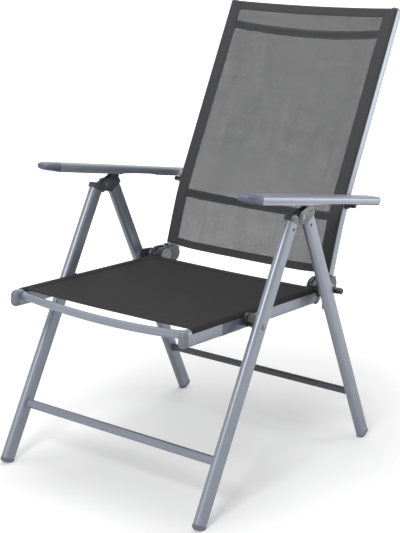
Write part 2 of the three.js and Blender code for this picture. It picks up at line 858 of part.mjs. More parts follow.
// The centre line of a side tube at x: straight, a gentle bend, straight.
function backPath(x) {
  const start = new THREE.Vector3(x, backStartY, backStartZ);
  const knee = start.clone().add(backVector(backLow, backLowLength));
  const corner = knee.clone().add(backVector(backLow, backBend / 2));
  const after = corner.clone().add(backVector(backHigh, backBend / 2));
  const top = after.clone().add(backVector(backHigh, backHighLength));
  const path = new THREE.CurvePath();
  path.add(new THREE.LineCurve3(start, knee));
  path.add(new THREE.QuadraticBezierCurve3(knee, corner, after));
  path.add(new THREE.LineCurve3(after, top));
  return path;
}

function backTube() {
  const path = backPath(backTubeX);
  return new THREE.ExtrudeGeometry(ovalRing(backTubeWidth, backTubeDepth, tubeWall), {
    steps: backTubeSteps,
    bevelEnabled: false,
    extrudePath: path,
  });
}

// Socket for the side tube, and two cheeks that turn on the rear pivot.
function knuckle() {
  const width = backTubeWidth + 2 * knuckleCheek;
  const depth = backTubeDepth + 2 * knuckleWall;
  const base = backVector(backLow, -knuckleWall);
  const socket = run(
    ovalShape(width, depth + width / 4),
    knuckleSocket + knuckleWall,
    backTubeX,
    backStartY + base.y,
    backStartZ + base.z,
    backLow,
  );
  const bore = run(
    ovalShape(backTubeWidth + 2 * seatGap, backTubeDepth + 2 * seatGap),
    2 * knuckleSocket,
    backTubeX,
    backStartY - seatGap * Math.cos(backLow),
    backStartZ - seatGap * Math.sin(backLow),
    backLow,
  );
  const hub = backVector(backLow, knuckleHubAlong);
  const strap = strapShape(
    pivotY,
    pivotZ,
    knuckleRadius,
    backStartY + hub.y,
    backStartZ + hub.z,
    knuckleRadius - knuckleWall,
  );
  const low = backTubeX - width / 2;
  const high = backTubeX + width / 2;
  const cheeks = plate(strap, low, high);
  const eyeLow = seatEyeX - seatEyeThickness / 2 - runGap;
  const eyeHigh = seatEyeX + seatEyeThickness / 2 + runGap;
  const room = barX(pivotY, pivotZ, seatEyeRadius + seatEyeRoom, eyeLow, eyeHigh, wideSegments);
  return cut(
    join(socket, cheeks),
    room,
    bore,
    block(
      eyeLow,
      eyeHigh,
      pivotY - 2 * knuckleRadius,
      pivotY,
      pivotZ - 2 * knuckleRadius,
      pivotZ + 2 * knuckleRadius,
    ),
    barX(pivotY, pivotZ, pivotPinRadius + seatGap, low - cutOver, seatEyeX),
    barX(pivotY, pivotZ, pivotBushRadius + seatGap, seatEyeX, high + cutOver),
  );
}

function pivotBush() {
  const high = backTubeX + backTubeWidth / 2 + knuckleCheek;
  const low = seatEyeX + seatEyeThickness / 2 + runGap;
  return ringX(pivotY, pivotZ, pivotPinRadius + seatGap, pivotBushRadius, low, high);
}

function ringX(y, z, inner, outer, xLow, xHigh) {
  return turnedX(y, z, [
    [xLow, inner],
    [xLow, outer],
    [xHigh, outer],
    [xHigh, inner],
    [xLow, inner],
  ]);
}

function backBar(along) {
  const reach = backTubeX - backTubeWidth / 2 - seatGap;
  const spot = backPoint(along);
  const rearwards = new THREE.Vector3(0, Math.sin(spot.angle), -Math.cos(spot.angle));
  return bowedBar(spot.y, spot.z, rearwards, backBarBow, reach, backBarRadius);
}

// A place on the side tube's line at a distance from its lower end.
function backPoint(along) {
  const path = backPath(0);
  const share = along / path.getLength();
  const point = path.getPointAt(share);
  const tangent = path.getTangentAt(share);
  return { y: point.y, z: point.z, angle: Math.atan2(tangent.z, tangent.y) };
}

const backLength = backPath(0).getLength();

// Plug in the upper end of a side tube, with a low crown.
function backCap() {
  const end = backPoint(backLength);
  const plugWidth = backTubeWidth - 2 * tubeWall - 2 * seatGap;
  const plugDepth = backTubeDepth - 2 * tubeWall - 2 * seatGap;
  const down = backVector(end.angle, -backCapPlug);
  const plug = run(
    ovalShape(plugWidth, plugDepth),
    backCapPlug + 2 * seatGap,
    backTubeX,
    end.y + down.y,
    end.z + down.z,
    end.angle,
  );
  const rise = backVector(end.angle, seatGap);
  const rim = run(
    ovalShape(backTubeWidth, backTubeDepth),
    backCapHeight / 2,
    backTubeX,
    end.y + rise.y,
    end.z + rise.z,
    end.angle,
  );
  const crown = run(
    ovalShape(backTubeWidth - backCapHeight, backTubeDepth - backCapHeight),
    backCapHeight,
    backTubeX,
    end.y + rise.y,
    end.z + rise.z,
    end.angle,
  );
  return join(plug, rim, crown);
}

// Cloth in front of the side tubes: it sags rearwards between them.
function backSling() {
  const reach = backTubeX + backTubeWidth / 2 - backSlingSideLap;
  const ahead = backTubeDepth / 2 + 2 * seatGap + backSlingThickness / 2;
  const bearShare = (backTubeX - backTubeWidth / 2) / reach;
  const spots = [];
  for (let j = 0; j <= backSlingRows; j += 1) {
    spots.push(backPoint(backSlingLow + (backLength - backSlingLow) * j / backSlingRows));
  }
  const forward = (v) => {
    const spot = spots[Math.round(v * backSlingRows)];
    return new THREE.Vector3(0, -Math.sin(spot.angle), Math.cos(spot.angle));
  };
  const place = (u, v) => {
    const spot = spots[Math.round(v * backSlingRows)];
    const acrossShare = 2 * u - 1;
    const hangShare = Math.max(0, 1 - (acrossShare / bearShare) ** 2);
    return new THREE.Vector3(acrossShare * reach, spot.y, spot.z)
      .addScaledVector(forward(v), ahead - backSlingSag * hangShare);
  };
  return sheetGeometry(place, (u, v) => forward(v), backSlingThickness, slingColumns, backSlingRows);
}

// Armrests

const armAngle = radians(armSlopeDegrees);

// A point in the armrest's own line: along from its pivot to the rear, and above it.
function onArm(along, above = 0) {
  return [
    armPivotY + along * Math.cos(armAngle) - above * Math.sin(armAngle),
    armPivotZ + along * Math.sin(armAngle) + above * Math.cos(armAngle),
  ];
}

// The catch pin lies just under the rack, where the back tube crosses the armrest.
function catchSpot() {
  const drop = armBelow + catchRadius + seatGap;
  const path = backPath(0);
  let lowShare = 0;
  let highShare = 1;
  for (let i = 0; i < halvings; i += 1) {
    const middleShare = (lowShare + highShare) / 2;
    const point = path.getPointAt(middleShare);
    const above = (point.z - armPivotZ) * Math.cos(armAngle) - (point.y - armPivotY) * Math.sin(armAngle);
    if (above < -drop) {
      lowShare = middleShare;
    } else {
      highShare = middleShare;
    }
  }
  const spot = path.getPointAt(lowShare);
  return [spot.y, spot.z];
}

const [catchY, catchZ] = catchSpot();

function armCatch() {
  const face = backTubeX + backTubeWidth / 2 + seatGap;
  const tip = catchRadius / 3;
  return turnedX(catchY, catchZ, [
    [face, 0],
    [face, catchBaseRadius],
    [face + catchBaseThickness, catchBaseRadius - tip],
    [face + catchBaseThickness, catchRadius],
    [face + catchReach - tip, catchRadius],
    [face + catchReach, catchRadius - tip],
    [face + catchReach, 0],
  ]);
}

// Section of the armrest: a channel open below, with rounded top edges.
function armOutline(inset, top, bottom) {
  const half = armWidth / 2 - inset;
  const corner = armCorner - inset;
  const points = [];
  points.push(new THREE.Vector2(-half, bottom));
  points.push(new THREE.Vector2(half, bottom));
  for (let i = 0; i <= ovalSegments; i += 1) {
    const angle = Math.PI / 2 * i / ovalSegments;
    points.push(new THREE.Vector2(
      half - corner + corner * Math.cos(angle),
      top - corner + corner * Math.sin(angle),
    ));
  }
  for (let i = 0; i <= ovalSegments; i += 1) {
    const angle = Math.PI / 2 + Math.PI / 2 * i / ovalSegments;
    points.push(new THREE.Vector2(
      corner - half + corner * Math.cos(angle),
      top - corner + corner * Math.sin(angle),
    ));
  }
  return points;
}

// The run helper turns local Y downwards, so the section is flipped to suit.
function armRun(points, length, along) {
  const shape = new THREE.Shape(points.map((p) => new THREE.Vector2(p.x, -p.y)).reverse());
  const [y, z] = onArm(along);
  return run(shape, length, legHalfSpacing, y, z, armAngle);
}

function armrest() {
  const top = armHeight - armBelow;
  const outer = armRun(armOutline(0, top, -armBelow), armFront + armRear, -armFront);
  const inner = armRun(
    armOutline(armWall, top - armWall, -armBelow - cutOver),
    armFront + armRear + 2 * cutOver,
    -armFront - cutOver,
  );
  const holes = barX(
    armPivotY,
    armPivotZ,
    armPinRadius + seatGap,
    legHalfSpacing - armWidth,
    legHalfSpacing + armWidth,
  );
  return cut(outer, inner, holes);
}

// End caps are rounded in plan, with a chamfer below, and plug into the channel.
function armCap(along, way) {
  const top = armHeight - armBelow;
  const half = armWidth / 2;
  const plan = new THREE.Shape();
  plan.moveTo(-half, 0);
  plan.lineTo(half, 0);
  plan.bezierCurveTo(half, armCapLength, half / 2, armCapCrown, 0, armCapCrown);
  plan.bezierCurveTo(-half / 2, armCapCrown, -half, armCapLength, -half, 0);
  const tall = new THREE.ExtrudeGeometry(plan, {
    depth: 2 * armHeight,
    bevelEnabled: false,
    curveSegments: capSegments,
  });
  tall.translate(0, 0, -armHeight);
  if (way < 0) {
    tall.rotateZ(Math.PI);
  }
  tall.rotateX(armAngle);
  const [y, z] = onArm(along + way * seatGap);
  tall.translate(legHalfSpacing, y, z);
  const skin = armRun(
    armOutline(0, top, -armBelow),
    4 * armCapLength,
    way > 0 ? along - armCapLength : along - 3 * armCapLength,
  );
  const [y1, z1] = onArm(along + way * (armCapLength - armCapChamfer), -armBelow - cutOver);
  const [y2, z2] = onArm(along + way * 2 * armCapLength, -armBelow - cutOver);
  const [y3, z3] = onArm(along + way * 2 * armCapLength, armCapLength - armBelow);
  const corner = new THREE.Shape([[y1, z1], [y2, z2], [y3, z3]].map(([cy, cz]) => new THREE.Vector2(cy, cz)));
  const chamfer = plate(corner, legHalfSpacing - armWidth, legHalfSpacing + armWidth);
  const plug = armRun(
    armOutline(armWall + seatGap, top - armWall - seatGap, -armBelow + seatGap),
    armCapLength + 2 * seatGap,
    way > 0 ? along - armCapLength : along - 2 * seatGap,
  );
  return join(cut(toGeometry(toSolid(tall).intersect(toSolid(skin))), chamfer), plug);
}

function armRack() {
  const top = armHeight - armBelow - armWall - seatGap;
  const half = armWidth / 2 - armWall - rackSideRoom;
  const points = [
    new THREE.Vector2(-half, -armBelow),
    new THREE.Vector2(half, -armBelow),
    new THREE.Vector2(half, top - armWall),
    new THREE.Vector2(half - armWall, top),
    new THREE.Vector2(armWall - half, top),
    new THREE.Vector2(-half, top - armWall),
  ];
  let rack = armRun(points, rackEnd - rackStart, rackStart);
  const first = (rackStart + rackEnd) / 2 - rackPitch * (rackNotches - 1) / 2;
  for (let i = 0; i < rackNotches; i += 1) {
    const [y, z] = onArm(first + i * rackPitch, -armBelow);
    rack = cut(rack, barX(y, z, rackNotchRadius, legHalfSpacing - armWidth, legHalfSpacing + armWidth));
  }
  return rack;
}

function armPin() {
  const half = armWidth / 2;
  return barX(armPivotY, armPivotZ, armPinRadius, legHalfSpacing - half, legHalfSpacing + half);
}

function armBush() {
  const half = armWidth / 2 - armWall - 2 * seatGap;
  return ringX(
    armPivotY,
    armPivotZ,
    armPinRadius + seatGap,
    armBushRadius,
    legHalfSpacing - half,
    legHalfSpacing + half,
  );
}

addPair('back_side_tube', backTube, 'frame');
addPair('back_hinge_knuckle', knuckle, 'dark');
addPair('back_pivot_bush', pivotBush, 'black');
addPair('back_top_cap', backCap, 'cap');
addMesh('back_upper_bar', backBar(backLength - backUpperBarInset), 'frame');
addMesh('back_lower_bar', backBar(backLowerBarAlong), 'frame');
addMesh('back_sling', backSling(), 'sling');
addPair('armrest_catch', armCatch, 'black');
addPair('armrest', armrest, 'frame');
addPair('armrest_front_cap', () => armCap(-armFront, -1), 'cap');
addPair('armrest_rear_cap', () => armCap(armRear, 1), 'cap');
addPair('armrest_rack', armRack, 'black');
addPair('armrest_pin', armPin, 'steel');
addPair('armrest_bush', armBush, 'black');

// The origin is moved to the middle of the chair's own box, on the floor.
const bounds = new THREE.Box3().setFromObject(chair);
const middle = bounds.getCenter(new THREE.Vector3());
chair.children.forEach((mesh) => mesh.position.set(-middle.x, -middle.y, -bounds.min.z));

export default chair;
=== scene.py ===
# High-back folding garden armchair: oval silver tubes and charcoal mesh slings.
# Metres. +X is the sitter's left, -Y is the front, +Z is up.

import json
import math

import bmesh
import bpy
from mathutils import Matrix, Vector, noise


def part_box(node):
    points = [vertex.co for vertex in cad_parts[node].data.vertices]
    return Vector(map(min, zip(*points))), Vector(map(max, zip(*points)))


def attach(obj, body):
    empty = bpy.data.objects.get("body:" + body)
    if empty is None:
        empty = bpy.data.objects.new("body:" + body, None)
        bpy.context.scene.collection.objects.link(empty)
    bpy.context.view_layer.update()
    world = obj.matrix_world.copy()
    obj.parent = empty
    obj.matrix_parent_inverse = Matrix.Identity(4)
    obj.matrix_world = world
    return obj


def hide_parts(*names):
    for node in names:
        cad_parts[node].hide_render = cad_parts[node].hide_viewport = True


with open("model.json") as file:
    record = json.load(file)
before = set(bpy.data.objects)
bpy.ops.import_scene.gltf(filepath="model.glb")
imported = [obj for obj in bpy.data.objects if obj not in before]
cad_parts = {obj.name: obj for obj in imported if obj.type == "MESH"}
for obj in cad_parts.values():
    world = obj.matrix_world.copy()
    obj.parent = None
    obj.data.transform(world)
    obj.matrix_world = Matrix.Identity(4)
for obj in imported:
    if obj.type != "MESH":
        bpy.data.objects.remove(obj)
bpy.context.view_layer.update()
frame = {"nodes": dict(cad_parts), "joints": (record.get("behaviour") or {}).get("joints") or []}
mm = 0.001


def jointPlace(name):
    for joint in frame["joints"]:
        if joint["name"] == name:
            return Vector(joint["pos_m"])
    raise ValueError(name)


hinge = jointPlace("leg_fold")
pivot = jointPlace("back_recline")
armPivot = jointPlace("armrest_left_tilt")
bothSides = (("left", 1), ("right", -1))
fullSize = (1.0, 1.0)

# Shader wiring


def tone(red, green, blue):
    # a colour as a picture shows it, in the renderer's own numbers
    def linear(value):
        share = value / 255
        return share / 12.92 if share <= 0.04045 else ((share + 0.055) / 1.055) ** 2.4
    return (linear(red), linear(green), linear(blue), 1.0)


class Wire:
    # an output socket that can stand in sums
    def __init__(self, nodes, socket):
        self.nodes = nodes
        self.socket = socket

    def maths(self, operation, *others):
        return self.nodes.node("Math", {"operation": operation}, [self, *others])

    def __add__(self, other):
        return self.maths("ADD", other)

    def __sub__(self, other):
        return self.maths("SUBTRACT", other)

    def __rsub__(self, other):
        return self.nodes.node("Math", {"operation": "SUBTRACT"}, [other, self])

    def __mul__(self, other):
        return self.maths("MULTIPLY", other)

    def __truediv__(self, other):
        return self.maths("DIVIDE", other)

    __radd__ = __add__
    __rmul__ = __mul__


class Nodes:
    # a node tree, and the one way in which a node is added to it
    def __init__(self, tree):
        self.tree = tree

    def node(self, kind, settings=None, inputs=None, output=0):
        # settings come first, because some of them change the sockets
        made = self.tree.nodes.new("ShaderNode" + kind)
        for name, value in (settings or {}).items():
            setattr(made, name, value)
        pairs = inputs.items() if isinstance(inputs, dict) else enumerate(inputs or [])
        for key, value in pairs:
            if isinstance(value, Wire):
                self.tree.links.new(value.socket, made.inputs[key])
            else:
                made.inputs[key].default_value = value
        return Wire(self, made.outputs[output])

    def seen(self):
        # 1 for what the camera sees itself, in a reflection or through glass
        seen = self.node("LightPath", output="Is Camera Ray")
        for other in ("Is Glossy Ray", "Is Transmission Ray"):
            seen = seen.maths("MAXIMUM", self.node("LightPath", output=other))
        return seen


class Finish(Nodes):
    # a material: its fixed values first, then whatever varies over the surface
    def __init__(self, name, fixed):
        self.material = bpy.data.materials.new(name)
        self.material.use_nodes = True
        super().__init__(self.material.node_tree)
        self.shader = self.tree.nodes["Principled BSDF"]
        for socketName, value in fixed.items():
            self.shader.inputs[socketName].default_value = value

    def feed(self, socketName, wire):
        self.tree.links.new(wire.socket, self.shader.inputs[socketName])

    def place(self):
        return self.node("TexCoord", output="Object")

    def speckle(self, scale, detail=2.0, roughness=0.5, where=None):
        values = {"Vector": where or self.place(), "Scale": scale, "Detail": detail, "Roughness": roughness}
        return self.node("TexNoise", {"noise_dimensions": "3D"}, values, output="Fac")

    def blend(self, share, first, second):
        values = {"Factor": share, "A": first, "B": second}
        return self.node("Mix", {"data_type": "RGBA"}, values, output="Result")

    def relief(self, height, distance, strength):
        return self.node("Bump", {}, {"Height": height, "Distance": distance, "Strength": strength})


# Finishes

silver = {
    "light": tone(152, 157, 168),
    "dark": tone(124, 130, 143),
    # painted shade: the shaded tones are a darker copy of the silver paint, standing in for the shade under
    # the seat on the rear cross bar
    "shadedLight": tone(92, 94, 101),
    "shadedDark": tone(70, 72, 78),
    "metallic": 0.5,
    "specular": 0.5,
    "roughness": 0.37,
    "cloud": 9,
    "grain": 1400,
    "depth": 0.04 * mm,
}


def paintedTube(name, light, dark):
    # powder coat on aluminium: a fine orange peel and faint clouds
    finish = Finish(name, {"Metallic": silver["metallic"], "Specular IOR Level": silver["specular"]})
    cloud = finish.speckle(silver["cloud"], 3.0)
    peel = finish.speckle(silver["grain"], 1.0)
    finish.feed("Base Color", finish.blend(cloud * 0.7 + peel * 0.3, dark, light))
    finish.feed("Roughness", cloud * 0.12 + (silver["roughness"] - 0.06) + peel * 0.05)
    finish.feed("Normal", finish.relief(peel, silver["depth"], 0.35))
    return finish.material


plastic = {"specular": 0.45, "cloud": 22, "grain": 900, "depth": 0.06 * mm}


def mouldedPlastic(name, light, dark, roughness):
    # moulded plastic: spark-eroded grain, its colour a little darker in the grain's low places
    finish = Finish(name, {"Metallic": 0.0, "Specular IOR Level": plastic["specular"]})
    cloud = finish.speckle(plastic["cloud"], 3.0)
    fine = finish.speckle(plastic["grain"], 2.0, 0.6)
    finish.feed("Base Color", finish.blend(cloud * 0.75 + fine * 0.25, dark, light))
    finish.feed("Roughness", fine * 0.16 + cloud * 0.1 + (roughness - 0.12))
    finish.feed("Normal", finish.relief(fine, plastic["depth"], 0.4))
    return finish.material


zinc = {
    "light": tone(138, 142, 150),
    "dark": tone(92, 96, 104),
    "metallic": 0.9,
    "roughness": 0.4,
    "stretch": (1.0, 6.0, 1.0),
    "streak": 160,
    "cloud": 40,
    "depth": 0.03 * mm,
}


def zincSteel(name):
    # zinc-plated steel: soft streaks and small scratches
    finish = Finish(name, {"Metallic": zinc["metallic"]})
    stretched = finish.node("Mapping", {}, {"Vector": finish.place(), "Scale": zinc["stretch"]})
    streak = finish.speckle(zinc["streak"], 3.0, 0.6, stretched)
    cloud = finish.speckle(zinc["cloud"])
    finish.feed("Base Color", finish.blend(streak * 0.5 + cloud * 0.5, zinc["dark"], zinc["light"]))
    finish.feed("Roughness", streak * 0.2 + (zinc["roughness"] - 0.1))
    finish.feed("Normal", finish.relief(streak, zinc["depth"], 0.3))
    return finish.material


cloth = {
    "light": tone(79, 79, 81),
    "dark": tone(44, 44, 46),
    "seatLight": tone(46, 46, 47),
    "seatDark": tone(22, 22, 23),
    "specular": 0.14,
    "roughness": 0.66,
    "pitch": 1.55 * mm,
    "yarnShare": 0.572,
    "bandYarnShare": 0.9,
    "under": 0.4,
    "depth": 0.35 * mm,
    "uneven": 0.34,
    "warpStreak": (85.0, 5.0, 1.0),
    "weftStreak": (5.0, 85.0, 1.0),
}


def yarns(finish, spot, across, onTop, streaks, yarnShare):
    # one set of yarns: where they cover, and their height; slow streaks make their widths uneven
    stretched = finish.node("Mapping", {}, {"Vector": spot, "Scale": streaks})
    half = ((finish.speckle(1.0, where=stretched) - 0.5) * cloth["uneven"] + 1.0) * (yarnShare / 2)
    off = (across.maths("FRACT") - 0.5).maths("ABSOLUTE")
    cover = off.maths("LESS_THAN", half)
    crown = (1.0 - (off / half).maths("POWER", 2.0)).maths("MAXIMUM", 0.0)
    return cover, crown * (onTop * (1 - cloth["under"]) + cloth["under"]) * cover


def meshCloth(name, light, dark, yarnShare, isOpen):
    # coated polyester yarns in a plain weave: round yarns that go over and under by turns
    finish = Finish(name, {"Metallic": 0.0, "Specular IOR Level": cloth["specular"]})
    spot = finish.node("UVMap", {"uv_map": "clothMetres"})
    across = finish.node("SeparateXYZ", {}, [spot], output="X") / cloth["pitch"]
    along = finish.node("SeparateXYZ", {}, [spot], output="Y") / cloth["pitch"]
    # which yarn is on top, by the parity of the crossing
    parity = (across.maths("FLOOR") + along.maths("FLOOR")).maths("PINGPONG", 1.0)
    onWarp, warpHeight = yarns(finish, spot, across, parity, cloth["warpStreak"], yarnShare)
    onWeft, weftHeight = yarns(finish, spot, along, 1.0 - parity, cloth["weftStreak"], yarnShare)
    height = warpHeight.maths("MAXIMUM", weftHeight)
    cloud = finish.speckle(14, 3.0)
    slub = finish.speckle(420)
    # painted shade and highlight in the weave: the colour follows the yarns' height, darker where each yarn
    # rounds off and dips under the other, lighter on its crown; the clouds and slubs are random tone
    shade = (height * 0.55 + cloud * 0.25 + slub * 0.2).maths("MINIMUM", 1.0)
    finish.feed("Base Color", finish.blend(shade, dark, light))
    finish.feed("Roughness", cloud * 0.1 + (cloth["roughness"] - 0.05))
    finish.feed("Normal", finish.relief(height, cloth["depth"], 0.6))
    if isOpen:
        finish.feed("Alpha", onWarp.maths("MAXIMUM", onWeft))
    return finish.material


thread = {
    "light": tone(84, 84, 86),
    "dark": tone(44, 44, 46),
    "twist": 1600,
    "specular": 0.4,
    "roughness": 0.45,
}


def sewingThread(name):
    finish = Finish(name, {"Metallic": 0.0, "Specular IOR Level": thread["specular"]})
    twist = finish.speckle(thread["twist"])
    finish.feed("Base Color", finish.blend(twist, thread["dark"], thread["light"]))
    finish.feed("Roughness", twist * 0.2 + thread["roughness"])
    return finish.material


looks = {
    "frame": paintedTube("silverPaint", silver["light"], silver["dark"]),
    # painted shade: this second painted tube is the silver paint made darker, for the shade that falls under
    # the seat
    "shadedFrame": paintedTube("shadedSilverPaint", silver["shadedLight"], silver["shadedDark"]),
    "greyPlastic": mouldedPlastic("greyPlastic", tone(128, 133, 145), tone(98, 102, 114), 0.36),
    "bluePlastic": mouldedPlastic("bluePlastic", tone(104, 110, 128), tone(76, 82, 98), 0.34),
    "headPlastic": mouldedPlastic("headPlastic", tone(100, 103, 111), tone(66, 69, 76), 0.34),
    "darkPlastic": mouldedPlastic("darkPlastic", tone(47, 50, 57), tone(28, 30, 35), 0.38),
    "blackPlastic": mouldedPlastic("blackPlastic", tone(38, 39, 42), tone(20, 21, 23), 0.36),
    "steel": zincSteel("zincSteel"),
    "openMesh": meshCloth("openMesh", cloth["light"], cloth["dark"], cloth["yarnShare"], True),
    "closeMesh": meshCloth("closeMesh", cloth["light"], cloth["dark"], cloth["bandYarnShare"], False),
    "seatMesh": meshCloth("seatMesh", cloth["seatLight"], cloth["seatDark"], cloth["bandYarnShare"], False),
    "thread": sewingThread("sewingThread"),
}
print("finishes ready:", len(looks))

# Making pieces


def finishPiece(name, bm, look, body, replaced=None, smoothDegrees=32, thickness=None):
    bmesh.ops.recalc_face_normals(bm, faces=bm.faces)
    mesh = bpy.data.meshes.new(name)
    bm.to_mesh(mesh)
    bm.free()
    mesh.materials.append(looks[look])
    mesh.shade_smooth()
    mesh.set_sharp_from_angle(angle=math.radians(smoothDegrees))
    piece = bpy.data.objects.new(name, mesh)
    bpy.context.scene.collection.objects.link(piece)
    if thickness:
        wall = piece.modifiers.new("Solidify", "SOLIDIFY")
        wall.thickness = thickness
        wall.offset = 0.0
        wall.use_even_offset = True
    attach(piece, body)
    if replaced:
        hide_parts(replaced)
    return piece


def addPair(name, build, look, body, replaced=None):
    # build(bm) makes the piece for the sitter's left; the right one is its mirror image
    for sideName, side in bothSides:
        bm = bmesh.new()
        build(bm)
        if side < 0:
            bmesh.ops.scale(bm, verts=bm.verts, vec=(-1, 1, 1))
            bmesh.ops.reverse_faces(bm, faces=bm.faces)
        node = replaced and f"{replaced}_{sideName}"
        finishPiece(f"{name}_{sideName}", bm, look, body.replace("SIDE", sideName), node)


def quarter(steps):
    # the angles from 0 to a right angle
    return [math.pi / 2 * step / steps for step in range(steps + 1)]


def station(x, y, z, angle, scale=fullSize):
    # a section's plane: its normal runs along the angle, from +Y up to +Z
    turned = Matrix.Translation((x, y, z)) @ Matrix.Rotation(angle - math.pi / 2, 4, "X")
    return turned @ Matrix.Diagonal((scale[0], scale[1], 1.0, 1.0))


tubeSides = 40


def ovalRing(bm, width, depth, proud=0.0):
    # a round ring pulled out into an oval: width along X, depth along Y
    width += 2 * proud
    depth += 2 * proud
    small = min(width, depth)
    ring = bmesh.ops.create_circle(bm, segments=tubeSides, radius=small / 2, cap_ends=False)["verts"]
    bmesh.ops.rotate(bm, verts=ring, cent=(0, 0, 0), matrix=Matrix.Rotation(math.pi / tubeSides, 3, "Z"))
    axis = 1 if depth > width else 0
    stretch = abs(depth - width) / 2
    for way in (1, -1):
        half = [v for v in ring if v.co[axis] * way > 0]
        move = [0, 0, 0]
        move[axis] = way * stretch
        bmesh.ops.translate(bm, verts=half, vec=move)
    return ring


def sweep(bm, ring, places):
    # the ring is set at the first place, drawn on through the others and closed at both ends
    edges = list(dict.fromkeys(edge for vert in ring for edge in vert.link_edges))
    bmesh.ops.transform(bm, matrix=places[0], verts=ring)
    firstEdges = edges
    for before, after in zip(places, places[1:]):
        made = bmesh.ops.extrude_edge_only(bm, edges=edges)["geom"]
        verts = [part for part in made if isinstance(part, bmesh.types.BMVert)]
        fresh = set(verts)
        edges = [
            part for part in made
            if isinstance(part, bmesh.types.BMEdge) and part.verts[0] in fresh and part.verts[1] in fresh
        ]
        bmesh.ops.transform(bm, matrix=after @ before.inverted(), verts=verts)
    bmesh.ops.contextual_create(bm, geom=firstEdges)
    bmesh.ops.contextual_create(bm, geom=edges)


def turnedPiece(bm, y, z, profile, steps=48):
    # profile gives (x, radius) from one end to the other, turned about a line along X
    verts = [bm.verts.new((x, y, z + radius)) for x, radius in profile]
    edges = [bm.edges.new(pair) for pair in zip(verts, verts[1:])]
    bmesh.ops.spin(
        bm, geom=verts + edges, cent=(0, y, z), axis=(1, 0, 0), dvec=(0, 0, 0),
        angle=2 * math.pi, steps=steps, use_merge=True, use_duplicate=False,
    )
    bmesh.ops.remove_doubles(bm, verts=bm.verts, dist=1e-6)


def cappedEnd(bm, cap, at, width, depth):
    # a plug on a tube's end: its collar, then a dome that draws in towards the tip
    places = [at(along, scale) for along, scale in cap["collar"]]
    for turn in quarter(cap["steps"]):
        along = cap["shoulder"] + (cap["length"] - cap["shoulder"]) * math.sin(turn)
        places.append(at(along, [1 - share * (1 - math.cos(turn)) for share in cap["draw"]]))
    sweep(bm, ovalRing(bm, width, depth), places)


dressing = {"join": 0.01 * mm, "flat": math.radians(1.0), "sharp": math.radians(28), "segments": 2}


def dressPair(name, solid, look, body, bevel=0.6 * mm):
    # the left solid and its mirror image, with their facets joined and their edges rounded
    def build(bm):
        bm.from_mesh(frame["nodes"][f"{solid}_left"].data)
        bmesh.ops.remove_doubles(bm, verts=bm.verts, dist=dressing["join"])
        bmesh.ops.dissolve_limit(
            bm, angle_limit=dressing["flat"], verts=bm.verts, edges=bm.edges,
            use_dissolve_boundaries=False, delimit=set(),
        )
        sharp = [edge for edge in bm.edges if edge.is_manifold and edge.calc_face_angle() > dressing["sharp"]]
        bmesh.ops.bevel(
            bm, geom=sharp, offset=bevel, offset_type="OFFSET", segments=dressing["segments"], profile=0.5,
            affect="EDGES", material=-1, clamp_overlap=True, loop_slide=True,
        )
    addPair(name, build, look, body, solid)


# Legs

legs = {
    "footReach": 345 * mm,
    "offset": 25.5 * mm,
    "halfSpacing": 280 * mm,
    "depth": 38 * mm,
    "width": 19 * mm,
    "endDrop": 22 * mm,
    "hingeForward": 4 * mm,
    "gap": 0.3 * mm,
}
yShift = hinge.y - legs["hingeForward"]


def legLine(facing):
    # the leg passes the hinge at the offset, so its angle comes from that and from its foot
    foot = -facing * legs["footReach"] + yShift
    reach = math.hypot(hinge.y - foot, hinge.z)
    toHinge = math.atan2(hinge.z, hinge.y - foot)
    return {
        "foot": foot,
        "facing": facing,
        "angle": toHinge + facing * math.asin(legs["offset"] / reach),
        "hingeAlong": math.sqrt(reach ** 2 - legs["offset"] ** 2),
    }


frontLeg = legLine(1)
rearLeg = legLine(-1)


def onLeg(leg, along, across=0.0):
    side = leg["angle"] - leg["facing"] * math.pi / 2
    return (
        leg["foot"] + along * math.cos(leg["angle"]) + across * math.cos(side),
        along * math.sin(leg["angle"]) + across * math.sin(side),
    )


def legStation(leg, along, scale=fullSize):
    return station(legs["halfSpacing"], *onLeg(leg, along), leg["angle"], scale)


shoe = {
    "proud": 0.5 * mm,
    "tip": 1.5 * mm,
    "rim": 6.5 * mm,
    "rimSteps": 7,
    "lift": 0.02 * mm,
    # along the leg, then the share of the section's width and depth
    "lip": ((30 * mm, (0.84, 0.9)), (12 * mm, (0.84, 0.9)), (11.8 * mm, fullSize)),
    "seam": 12.2 * mm,
}


def legTube(leg):
    def build(bm):
        alongs = (shoe["seam"], leg["hingeAlong"] - legs["endDrop"])
        sweep(bm, ovalRing(bm, legs["width"], legs["depth"]), [legStation(leg, along) for along in alongs])
    return build


def legFoot(leg):
    # a plug in the tube's end, square to the leg with a rounded rim, cut flat where it stands
    def build(bm):
        places = [legStation(leg, along, scale) for along, scale in shoe["lip"]]
        for turn in quarter(shoe["rimSteps"]):
            draw = shoe["rim"] * (1 - math.cos(turn))
            scale = (1 - 2 * draw / legs["width"], 1 - 2 * draw / legs["depth"])
            places.append(legStation(leg, shoe["tip"] + shoe["rim"] * (1 - math.sin(turn)), scale))
        sweep(bm, ovalRing(bm, legs["width"], legs["depth"], shoe["proud"]), places)
        bmesh.ops.bisect_plane(
            bm, geom=bm.verts[:] + bm.edges[:] + bm.faces[:], plane_co=(0, 0, shoe["lift"]),
            plane_no=(0, 0, -1), clear_outer=True,
        )
        bmesh.ops.contextual_create(bm, geom=[edge for edge in bm.edges if edge.is_boundary])
    return build


crossBar = {
    "along": 148 * mm,
    "height": 20 * mm,
    "depth": 12 * mm,
    "weld": 1.6 * mm,
    # where the flare and the weld end, as shares of half the bar's length
    "weldEnds": (0.004, 0.01),
}


